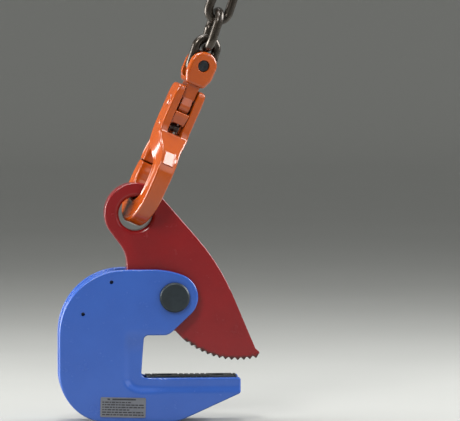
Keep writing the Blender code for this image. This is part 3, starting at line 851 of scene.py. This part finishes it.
# finishes: the record's slot and a material for it
RED_SHADES = ((0.245, 0.0070, 0.0095), (0.205, 0.0055, 0.0080))
ORANGE_SHADES = ((0.440, 0.076, 0.004), (0.360, 0.056, 0.003))
OXIDE_SHADES = ((0.035, 0.042, 0.048), (0.022, 0.026, 0.030))
OILED_SHADES = ((0.060, 0.048, 0.036), (0.035, 0.028, 0.022))
BRONZE_SHADES = ((0.48, 0.31, 0.13), (0.36, 0.22, 0.09))
BLUE = paint("blue_paint", "blue_paint_coat", (0.034, 0.112, 0.460), (0.030, 0.100, 0.425), 0.20, 0.8, 0.25)
RED = paint("red_paint", "red_paint_wear", *RED_SHADES, 0.20, 0.8, 0.2, "tooth_wear")
ORANGE = paint("orange_paint", "orange_powder_coat", *ORANGE_SHADES, 0.15, 1.6, 0.55)
BLACK = steel("black_steel", "black_oxide_steel", *OXIDE_SHADES, 0.36, 0.8, (1, 0.2, 1), 0.2)
CHAIN = steel("chain_steel", "oiled_chain_steel", *OILED_SHADES, 0.24, 0.85, oil=0.5, pits=0.8, rust=0.3)
PLAIN = steel("plain_steel", "bright_steel", (0.42, 0.42, 0.43), (0.34, 0.34, 0.35), 0.30, 1.0, (1, 0.1, 1))
SPRING = steel("plain_steel", "spring_steel", (0.10, 0.095, 0.09), (0.05, 0.045, 0.04), 0.4, 0.9)
BRONZE = steel("bronze", "bearing_bronze", *BRONZE_SHADES, 0.32, 1.0, (1, 0.1, 1))
PIN_FACE = turned_steel("black_steel", "turned_black_pin", (0.030, 0.042, 0.050), tuple(PIVOT), 0.40)
FOIL = foil("label", "label_foil")
INK = ink("label", "label_ink")


# ---------- clamp frame ----------


def smoothstep(value):
    value = min(1.0, max(0.0, value))
    return value * value * (3 - 2 * value)


def jaw_relief(x, z):
    """The side plates are set in by a soft step along the throat wall and the lower jaw."""
    beside = max(0.0, THROAT_TOP[0] - 2.0 - x)
    below = max(0.0, JAW_EDGE_Z - z) * 1.35
    away = math.hypot(beside, below)
    step = 1 - smoothstep((away - 13.0) / 9.0)
    along_jaw = 1 - 0.6 * smoothstep((x - THROAT_TOP[0]) / 30.0)
    return RELIEF_DEPTH * along_jaw * step * (1 - smoothstep((z - 28.0) / 24.0))


def mirrored(mesh):
    """The mesh seen in a mirror across the clamp's thickness."""
    bmesh.ops.scale(mesh, verts=mesh.verts, vec=(1, -1, 1))
    bmesh.ops.reverse_faces(mesh, faces=mesh.faces)
    return mesh


def side_plates():
    outline = tidy_loop(side_plate_outline())
    bore = (circle(PIVOT_XZ, PIN_R + GAP), 0.7, 3)
    marks = [(circle(centre, LOCATING_HOLE_R, 24), 0.5, 2) for centre in LOCATING_HOLES]
    spacing = 2.2
    for side, holes in (("front", [bore, *marks]), ("rear", [bore])):
        mesh = plate(outline, holes, -OUTER, -INNER, PLATE_EDGE, spacing, 6, jaw_relief)
        if side == "rear":
            mesh = mirrored(mesh)
        piece = keep_flat(add(side + "_plate", mesh))
        finish_piece(piece, "clamp_frame", [side + "_side_plate"], BLUE)


def core():
    half = box("core_plate")[1].y
    mesh = plate(tidy_loop(core_outline()), [], -half, half, 1.0, 8.0, 3)
    piece = keep_flat(add("core", mesh))
    finish_piece(piece, "clamp_frame", ["core_plate"], BLUE)


def weld_beads():
    """A rippled bead along the rim on each side of the core, where the side plates are welded on."""
    edge = tidy_loop_open(rounded_open(rim(CORE_INSET * 0.9, CORE_CROWN_DEG)))
    even = evenly([Vector((point.x, 0, point.y)) for point in edge], 0.55)
    for name, side in (("weld_bead_front", -1), ("weld_bead_rear", 1)):
        rings = []
        for index, point in enumerate(even):
            along = (even[min(index + 1, len(even) - 1)] - even[max(index - 1, 0)]).normalized()
            out = Vector((along.z, 0, -along.x))
            ripple = (index % 5) / 5
            size = 1.75 + 0.28 * math.sin(math.pi * ripple) + 0.12 * noise.noise(point * 0.2)
            taper = min(1.0, (min(index, len(even) - 1 - index) + 1) / 6)
            ring = []
            for part in range(12):
                angle = 2 * math.pi * part / 12
                lift = -out * math.cos(angle) * size * 0.62 * taper
                lean = along * (0.5 * math.cos(angle) * ripple)
                sideways = Vector((0, math.sin(angle) * size * taper, 0))
                ring.append(point + Vector((0, side * INNER, 0)) + lift + sideways + lean)
            rings.append(ring)
        piece = add(name, lofted(rings), None, 180)
        finish_piece(piece, "clamp_frame", [], BLUE)


def rounded_open(nodes):
    """rounded() for an open run of nodes, whose ends stay as they are."""
    return rounded([(*nodes[0][:2], 0.0), *nodes[1:-1], (*nodes[-1][:2], 0.0)])


def tidy_loop_open(points):
    kept = [points[0]]
    for point in points[1:]:
        if (point - kept[-1]).length > 0.02:
            kept.append(point)
    return kept


def evenly(path, step):
    """Points spaced evenly along a path."""
    lengths = [0.0]
    for a, b in zip(path, path[1:]):
        lengths.append(lengths[-1] + (b - a).length)
    count = int(lengths[-1] / step)
    result = []
    place = 0
    for index in range(count + 1):
        want = lengths[-1] * index / count
        while place < len(path) - 2 and lengths[place + 1] < want:
            place += 1
        share = (want - lengths[place]) / max(lengths[place + 1] - lengths[place], 1e-6)
        result.append(path[place].lerp(path[place + 1], share))
    return result


def pivot_pin():
    low, high = box("pivot_pin")
    head_r = (high.x - low.x) / 2
    front = low.y
    under = -OUTER - GAP
    groove_low = box("pin_circlip")[0].y - GAP / 2
    groove_high = box("pin_circlip")[1].y + GAP / 2
    profile = [(0.3, front), (head_r - 2.2, front), (head_r - 1.5, front + 0.25)]
    profile += [(head_r - 0.25, front + 1.5), (head_r, front + 2.2)]
    profile += [(head_r, under - 0.5), (head_r - 0.5, under)]
    profile += [(PIN_R, under), (PIN_R, groove_low), (PIN_R - 1.7, groove_low), (PIN_R - 1.7, groove_high)]
    profile += [(PIN_R, groove_high), (PIN_R, high.y - 1.6)]
    profile += [(PIN_R - 0.4, high.y - 0.4), (PIN_R - 1.6, high.y)]
    place = Matrix.Translation((PIVOT.x, 0, PIVOT.z))
    piece = keep_flat(add("pivot_pin_turned", turned(profile, 96), place, 50))
    finish_piece(piece, "clamp_frame", ["pivot_pin"], PIN_FACE)


def rating_plate():
    """A foil plate with plain printed bars and no lettering."""
    low, high = box("rating_plate")
    centre = Vector(((low.x + high.x) / 2, (low.z + high.z) / 2))
    turn = Matrix.Rotation(math.radians(LABEL_LEAN), 2)
    corners = []
    for x, z in ((-1, -1), (1, -1), (1, 1), (-1, 1)):
        corner = turn @ Vector((x * LABEL_HALF[0], z * LABEL_HALF[1]))
        corners.append((*corner, LABEL_CORNER_R))
    outline = [point + centre for point in rounded(corners)]
    piece = add("rating_foil", plate(tidy_loop(outline), [], low.y, high.y, 0.2, 6.0, 2))
    finish_piece(keep_flat(piece), "clamp_frame", ["rating_plate"], FOIL)
    dashes = random.Random(LABEL_SEED)
    bars = [(-12.0, 14.0, 8.9, 1.7), (-17.5, -14.5, 8.9, 1.7)]
    for row in range(6):
        x = -23.0
        end = 23.0 if row % 3 else dashes.uniform(8.0, 18.0)
        while x < end - 2.0:
            width = min(dashes.uniform(1.6, 5.4), end - x)
            bars.append((x, x + width, 5.6 - 2.75 * row, 1.35))
            x += width + 0.8
    mesh = bmesh.new()
    for x0, x1, z, height in bars:
        shape = [(x0, z - height / 2), (x1, z - height / 2), (x1, z + height / 2), (x0, z + height / 2)]
        flat = [turn @ Vector(point) + centre for point in shape]
        bar = bpy.data.meshes.new("bar")
        part = prism(flat, low.y - 0.08, low.y + 0.02)
        part.to_mesh(bar)
        part.free()
        mesh.from_mesh(bar)
        bpy.data.meshes.remove(bar)
    piece = add("rating_print", mesh)
    finish_piece(piece, "clamp_frame", [], INK)


# ---------- cam lever ----------


def tooth_zone(point):
    """True for outline points on the toothed stretch of the cam."""
    reach = point - PIVOT_XZ - TOOTH_CENTRE
    angle = math.degrees(math.atan2(reach.y, reach.x)) % 360
    return reach.length < TOOTH_R + 0.3 and TOOTH_SPAN[1] - 1 < angle < TOOTH_SPAN[0] + 1.5


def cam_edge(point):
    """Edge radius of the cam plate: small on the teeth and round the toe."""
    toe = (point - Vector(CAM_TOE) - PIVOT_XZ).length
    return 0.35 if tooth_zone(point) else min(1.4, max(0.35, 0.2 * toe - 0.4))


def cam():
    half = box("cam_lever")[1].y
    centre = (EYE_PLACE.x, EYE_PLACE.z)
    holes = [(circle(centre, EYE_HOLE_R, 120), EYE_LIP, 10)]
    holes.append((circle(PIVOT_XZ, BORE_R), 0.5, 2))
    outline = tidy_loop(cam_outline())
    mesh = plate(outline, holes, -half, half, cam_edge, 3.0, 6)
    piece = keep_flat(add("cam", mesh))
    wear = piece.data.attributes.new("tooth_wear", "FLOAT", "POINT")
    tooth_centre = TOOTH_CENTRE + PIVOT_XZ
    values = []
    for vert in piece.data.vertices:
        flat = Vector((vert.co.x, vert.co.z)) / MM
        reach = flat - tooth_centre
        angle = math.degrees(math.atan2(reach.y, reach.x)) % 360
        near = reach.length - (TOOTH_R - TOOTH_DEPTH * 1.1)
        in_span = TOOTH_SPAN[1] - 3 < angle < TOOTH_SPAN[0] + 2
        values.append(smoothstep(near / 1.2 + 0.5) if in_span else 0.0)
    wear.data.foreach_set("value", values)
    finish_piece(piece, "cam", ["cam_lever"], RED)


# ---------- hook ----------


def bowl_stations():
    """The bar from tip to fork: (y, z, half depth, half width, corner radius, flank hollow)."""
    stations = [(28.4, 56.6, 5.8, 8.0, 2.4, 0.0), (28.6, 55.0, 7.0, 9.2, 2.2, 0.0)]
    stations += [(28.9, 51.0, 7.8, 9.4, 2.0, 0.0), (29.2, 44.0, 9.0, 9.4, 2.2, 0.3)]
    for degrees, depth in ((0, 9.6), (-30, 10.8), (-60, 12.2), (-90, 13.1), (-120, 12.8), (-150, 12.0)):
        point = polar((0, BOWL_Z), BOWL_R + depth + 0.2, degrees)
        hollow = 0.9 if degrees < -60 else 0.4
        stations.append((point.x, point.y, depth, 9.4, 3.0 if degrees > -100 else 2.4, hollow))
    stations += [(-31.0, 36.0, 11.2, 9.6, 2.0, 1.5), (-31.0, 52.0, 11.2, 9.8, 1.8, 1.8)]
    stations += [(-28.9, 61.5, 11.4, 10.2, 1.8, 1.8), (-23.0, 71.0, 11.8, 11.2, 1.8, 1.2)]
    stations += [(-14.5, 79.0, 12.3, 14.6, 1.8, 0.0), (-6.0, 87.0, 12.8, 17.3, 1.8, 0.0)]
    stations += [(-2.0, 94.0, 12.9, FORK_HALF, 1.8, 0.0), (-0.4, 102.0, FORK_DEPTH, FORK_HALF, 1.8, 0.0)]
    stations += [(0.0, 111.0, FORK_DEPTH, FORK_HALF, 1.8, 0.0), (0.0, 122.0, FORK_DEPTH, FORK_HALF, 1.8, 0.0)]
    stations += [(0.0, 140.0, FORK_DEPTH, FORK_HALF, 2.0, 0.0)]
    stations += [(0.0, FORK_TOP - 3.5, FORK_DEPTH - 0.5, FORK_HALF - 0.5, 3.0, 0.0)]
    stations += [(0.0, FORK_TOP - 0.9, FORK_DEPTH - 1.9, FORK_HALF - 1.8, 3.4, 0.0)]
    stations += [(0.0, FORK_TOP, FORK_DEPTH - 4.0, FORK_HALF - 3.8, 4.0, 0.0)]
    return stations


def spine_pad():
    """The raised flat on the outside of the spine, which ends in a small ledge."""
    along = (PAD_HIGH - PAD_LOW).normalized()
    out = Vector((0, -along.z, along.y))
    rings = []
    for point, half, rise in ((PAD_LOW, 6.4, 1.2), (PAD_HIGH, 6.0, 0.8), (PAD_HIGH + along * 3, 5.0, -1.5)):
        shape = ((-half - 0.8, -4.0), (half + 0.8, -4.0), (half, rise), (-half, rise))
        rings.append([point + Vector((x - 1.2, 0, 0)) + out * depth for x, depth in shape])
    return lofted(rings)


def hook():
    bowl = add("hook_forging", swept_bar(bowl_stations(), 8))
    carve(bowl, [spine_pad()], True)
    cutters = [block((-SLOT_HALF, SLOT_HALF), (-30, 30), (SLOT_Z, FORK_TOP + 10))]
    cutters.append(drill(HINGE_R, 30, 48, (0, 0, HINGE_Z)))
    cutters.append(drill(TRIGGER_PIN_R, 30, 48, (0, TRIGGER_PIN.y, TRIGGER_PIN.z)))
    carve(bowl, cutters)
    skin(bowl, FORGED_VOXEL)
    settle(bowl, HOOK)
    finish_piece(bowl, "hook", ["hook_bowl"], ORANGE)


def hook_pins():
    head = FORK_HALF + GAP
    profile = [(0.6, -head - 1.7), (2.6, -head - 1.6), (5.2, -head - 1.1), (6.3, -head - 0.5)]
    profile += [(6.6, -head + 0.1), (HINGE_R, -head + 0.1)]
    piece = add("hinge_rivet", turned(both_ends(profile), 48, "X"), HINGE_PLACE)
    finish_piece(piece, "hook", ["hinge_pin"], ORANGE)
    profile = [(0.5, -head - 0.2), (TRIGGER_PIN_R - 0.8, -head), (TRIGGER_PIN_R, -head + 0.7)]
    piece = add("trigger_rivet", turned(both_ends(profile), 32, "X"), TRIGGER_PLACE)
    finish_piece(piece, "hook", ["trigger_pin"], ORANGE)


def trigger_spring():
    """A torsion spring round the trigger pin, with both legs down."""
    coil_r = 3.7
    half = 4.6
    turns = 7
    per_turn = 32
    points = [Vector((-half, -coil_r, -5.0)), Vector((-half, -coil_r, -2.5))]
    for index in range(turns * per_turn + 1):
        angle = math.pi + 2 * math.pi * index / per_turn
        x = -half + 2 * half * index / (turns * per_turn)
        points.append(Vector((x, coil_r * math.cos(angle), coil_r * math.sin(angle))))
    points += [Vector((half, -coil_r, -2.5)), Vector((half, -coil_r, -5.0))]
    piece = add("trigger_coil", tube_along(points, 0.45, 12), TRIGGER_PLACE, 80)
    finish_piece(piece, "hook", ["trigger_spring"], SPRING)


def trigger():
    """The release trigger, drawn from its own pin, with its top edge following the tang."""
    hinge = (-TRIGGER_PIN.y, HINGE_Z - TRIGGER_PIN.z)
    nodes = arc((0, 0), 5.0, 20, -150, 10)
    nodes += [(-7.4, 3.5, 4.0), (-11.0, 15.0, 8.0), (-11.2, 18.6, 1.0)]
    nodes += arc(hinge, TANG_R + 0.6, 217, 258, 4)
    nodes.append((3.5, 11.0, 3.0))
    half = SLOT_HALF - 0.5
    piece = add("trigger_block", prism(rounded(nodes), -half, half, "X"))
    cutters = [drill(TRIGGER_PIN_R, 20, 32)]
    cutters.append(block((-5.8, 5.8), (-12, 12), (-8, 5.8)))
    cutters.append(block((-12, 12), (-16, -3.2), (-8, 4.6)))
    carve(piece, cutters)
    skin(piece, 0.3)
    settle(piece, TRIGGER_PLACE)
    finish_piece(piece, "trigger", ["trigger"], ORANGE)


def latch():
    """Latch arm, tang, neck and clevis in one forging, drawn from the hinge pin."""
    arm_end = ARM_END_Z - HINGE_Z
    top = EAR_GAP_Z - HINGE_Z - 1.0
    pin = LOAD_PIN_Z - HINGE_Z
    nodes = [(-8.8, top, 0.0), (-8.8, 9.5, 1.0)]
    nodes += arc((0, 0), TANG_R, 165, 310, 6)
    nodes += [(20.5, -50.0, 12.0), (22.0, arm_end, 1.5), (35.0, arm_end, 2.0), (35.0, -54.0, 14.0)]
    nodes += [(12.0, 2.0, 20.0), (10.0, 16.0, 0.0), (10.0, top, 0.0)]
    body = add("latch_forging", prism(rounded(nodes), -TANG_HALF, TANG_HALF, "X"))
    low = 155.5 - HINGE_Z
    ear = [(-10.5, low, 4.0), (-EAR_R, low + 11, 14.0)]
    ear += arc((0, pin), EAR_R, 180, 0, 4)
    ear += [(EAR_R, low + 11, 14.0), (10.5, low, 4.0)]
    clevis = plate(tidy_loop(rounded(ear)), [], -EAR_HALF, EAR_HALF, 3.0, 6.0, 5)
    foot = [(28.4, -72.2, 6.8, 9.3, 1.6, 0.0), (28.8, -62.0, 6.8, 9.4, 1.8, 0.8)]
    foot += [(27.8, -50.0, 6.0, 8.8, 2.0, 0.8), (24.0, -38.0, 4.5, 7.0, 2.0, 0.0)]
    carve(body, [clevis, swept_bar(foot, 6)], True)
    cutters = [block((-30, 30), (-EAR_GAP_HALF, EAR_GAP_HALF), (EAR_GAP_Z - HINGE_Z, 80))]
    cutters += [block((6.2, 12), (-30, 12), (-14, 9.0)), block((-12, -6.2), (-30, 12), (-14, 9.0))]
    cutters += [drill(HINGE_R, 30, 48), drill(LOAD_PIN_R, 30, 64, (0, 0, pin), "Y")]
    carve(body, cutters)
    skin(body, FORGED_VOXEL)
    settle(body, HINGE_PLACE)
    finish_piece(body, "latch", ["latch_body"], ORANGE)


def load_pin():
    low = -EAR_HALF + 1.8
    high = EAR_HALF - 0.8
    profile = [(0.4, low + 0.5), (1.4, low + 0.1), (LOAD_PIN_R - 1.2, low)]
    profile.append((LOAD_PIN_R - 0.4, low + 0.3))
    profile += [(LOAD_PIN_R, low + 1.1), (LOAD_PIN_R, high - 0.8), (LOAD_PIN_R - 0.8, high)]
    place = HOOK @ Matrix.Translation((0, 0, LOAD_PIN_Z))
    piece = add("load_pin_turned", turned(profile, 64), place)
    finish_piece(piece, "latch", ["load_pin"], BLACK)


# ---------- chain ----------


def link_path(straight):
    """Points round a link's centre line, and the bar's radius at each, with a weld bulge on one side."""
    path = []
    for side in (1, -1):
        for part in range(16):
            path.append(Vector((side * LINK_BEND_R, 0, side * (-straight + 2 * straight * part / 16))))
        for part in range(32):
            spot = polar((0, side * straight), LINK_BEND_R, 90 - 90 * side + 180 * part / 32)
            path.append(Vector((spot.x, 0, spot.y)))
    size = [WIRE_R * (1 + 0.09 * math.exp(-((point.z / 1.9) ** 2))) for point in path[:16]]
    return path, size + [WIRE_R] * (len(path) - 16)


def chain():
    """Round links, each hung on the bar below it and turned a quarter from it."""
    x_axis = joint_axis("link_2_swing")
    y_axis = joint_axis("link_1_swing")
    places = [joint_place(f"link_{number}_swing") for number in (1, 2, 3)]
    pitch = (places[1] - places[0]).length + LOAD_PIN_R + LINK_SLACK - WIRE_R
    path, size = link_path(pitch / 2 - (LINK_BEND_R - WIRE_R))
    for number, (place, turn) in enumerate(zip(places, (0, 90, 180)), start=1):
        bar_r = LOAD_PIN_R if number == 1 else WIRE_R
        centre_z = pitch / 2 - bar_r - LINK_SLACK
        local = Matrix.Translation((0, 0, centre_z)) @ Matrix.Rotation(math.radians(turn), 4, "Z")
        mesh = tube_along(path, size, 28, True)
        piece = add(f"chain_link_{number}_round", mesh, axes(x_axis, y_axis, place) @ local, 180)
        finish_piece(piece, f"link_{number}", [f"chain_link_{number}"], CHAIN)


# ---------- small parts that keep their CAD shape ----------


def small_parts():
    refined("jaw_pad", "clamp_frame", BLACK, 0.3)
    refined("jaw_pad_screw_1", "clamp_frame", PLAIN, 0.25)
    refined("jaw_pad_screw_2", "clamp_frame", PLAIN, 0.25)
    refined("pin_washer", "clamp_frame", PLAIN, 0.3)
    refined("pin_circlip", "clamp_frame", BLACK, 0.2)
    refined("cam_bush", "cam", BRONZE, 0.3)
    refined("thrust_washer_front", "cam", PLAIN, 0.2)
    refined("thrust_washer_rear", "cam", PLAIN, 0.2)
    refined("load_pin_retainer", "latch", PLAIN, 0.2)


# ---------- stage ----------


CAMERA_AZIMUTH = -4.6
CAMERA_ELEVATION = 3.6
CAMERA_DISTANCE = 5.0
VIEW_WIDTH = 0.506
VIEW_CENTRE = Vector((0.0396, -0.025, 0.1832))
FLOOR_SIDES = 72
WHITE = (1.0, 1.0, 1.0)


def sweep():
    """Pale floor that rises into a round backdrop, the same from every side, painted darker near the clamp
    and lighter far out: painted shade that evens out the lamps' light.
    """
    level = BOTTOM_Z * MM - 0.0002
    mesh = bmesh.new()
    rows = []
    profile = [(0.6 * step, level) for step in range(1, 10)]
    for degrees in range(0, 91, 6):
        point = polar((5.4, level + 2.4), 2.4, degrees - 90)
        profile.append((point.x, point.y))
    profile.append((7.8, level + 6.0))
    centre = mesh.verts.new((0, 0, level))
    for radius, height in profile:
        ring = circle((0, 0), radius, FLOOR_SIDES)
        rows.append([mesh.verts.new((point.x, point.y, height)) for point in ring])
    for index in range(FLOOR_SIDES):
        mesh.faces.new((centre, rows[0][index], rows[0][(index + 1) % FLOOR_SIDES]))
    for low, high in zip(rows, rows[1:]):
        for index in range(FLOOR_SIDES):
            after = (index + 1) % FLOOR_SIDES
            mesh.faces.new((low[index], high[index], high[after], low[after]))
    bmesh.ops.scale(mesh, verts=mesh.verts, vec=(1 / MM, 1 / MM, 1 / MM))
    piece = add("floor", mesh)
    n = Nodes("pale_floor")
    mottle = n.ramp(n.noise(3.0, 3.0, 0.5), 0.3, 0.7)
    # painted shade: the floor is darker near the clamp, where the lamps light it most, and lighter far out
    far = n.ramp(n.vector("LENGTH", {0: n.place})["Value"], 1.5, 6.5)
    near = n.mix(mottle, (0.36, 0.365, 0.35), (0.35, 0.355, 0.34))
    n.set(Base_Color=n.mix(far, near, (0.56, 0.565, 0.545)), Roughness=0.8)
    piece.data.materials.append(n.material)


def area_light(name, place, size, power, colour, target=(0, 0, 0.15)):
    """A rectangular lamp in metres and watts, turned towards the target."""
    data = bpy.data.lights.new(name, "AREA")
    data.shape = "RECTANGLE"
    data.size, data.size_y = size
    data.energy = power
    data.color = colour
    lamp = bpy.data.objects.new(name, data)
    bpy.context.collection.objects.link(lamp)
    lamp.location = place
    lamp.rotation_euler = (Vector(target) - Vector(place)).to_track_quat("-Z", "Y").to_euler()


def studio():
    area_light("key", (-1.1, -1.9, 1.7), (0.7, 0.7), 31.0, (1.0, 0.985, 0.96))
    area_light("fill", (2.0, -2.2, 0.8), (1.4, 1.2), 7.0, (0.95, 0.97, 1.0))
    area_light("left_panel", (-1.3, 0.1, 0.42), (0.8, 0.8), 17.0, (1.0, 0.99, 0.97))
    area_light("right_panel", (1.2, 0.15, 0.75), (0.8, 0.8), 22.0, WHITE)
    area_light("overhead", (-0.15, -0.62, 1.9), (0.3, 0.3), 12.0, WHITE)
    area_light("left_edge", (-1.2, 0.4, 0.28), (0.3, 0.7), 10.0, WHITE)
    along = PAD_HIGH - PAD_LOW
    facing = (HOOK.to_3x3() @ Vector((0, -along.z, along.y))).normalized()
    pad = HOOK @ ((PAD_LOW + PAD_HIGH) / 2) * MM
    mirrored_view = 2 * facing.dot(toward_camera()) * facing - toward_camera()
    area_light("sparkle", pad + mirrored_view * 1.6, (0.22, 0.22), 2.6, WHITE, pad)
    area_light("top_panel", (-0.3, 0.3, 1.7), (1.1, 0.6), 15.0, WHITE)
    world = bpy.data.worlds.new("studio")
    world.use_nodes = True
    background = world.node_tree.nodes["Background"]
    background.inputs["Color"].default_value = (0.60, 0.61, 0.60, 1.0)
    background.inputs["Strength"].default_value = 0.5
    bpy.context.scene.world = world


def toward_camera():
    """The direction from the clamp to the camera."""
    azimuth = math.radians(CAMERA_AZIMUTH)
    elevation = math.radians(CAMERA_ELEVATION)
    flat = math.cos(elevation)
    return Vector((math.sin(azimuth) * flat, -math.cos(azimuth) * flat, math.sin(elevation)))


def camera():
    away = toward_camera()
    data = bpy.data.cameras.new("camera")
    data.sensor_width = 36.0
    data.lens = 36.0 * CAMERA_DISTANCE / VIEW_WIDTH
    data.clip_end = 60.0
    viewer = bpy.data.objects.new("camera", data)
    bpy.context.collection.objects.link(viewer)
    viewer.location = VIEW_CENTRE + away * CAMERA_DISTANCE
    viewer.rotation_euler = (-away).to_track_quat("-Z", "Y").to_euler()
    bpy.context.scene.camera = viewer


side_plates()
core()
weld_beads()
pivot_pin()
rating_plate()
cam()
hook()
hook_pins()
trigger_spring()
trigger()
latch()
load_pin()
chain()
small_parts()
sweep()
studio()
camera()
bpy.context.scene.view_settings.view_transform = "Standard"
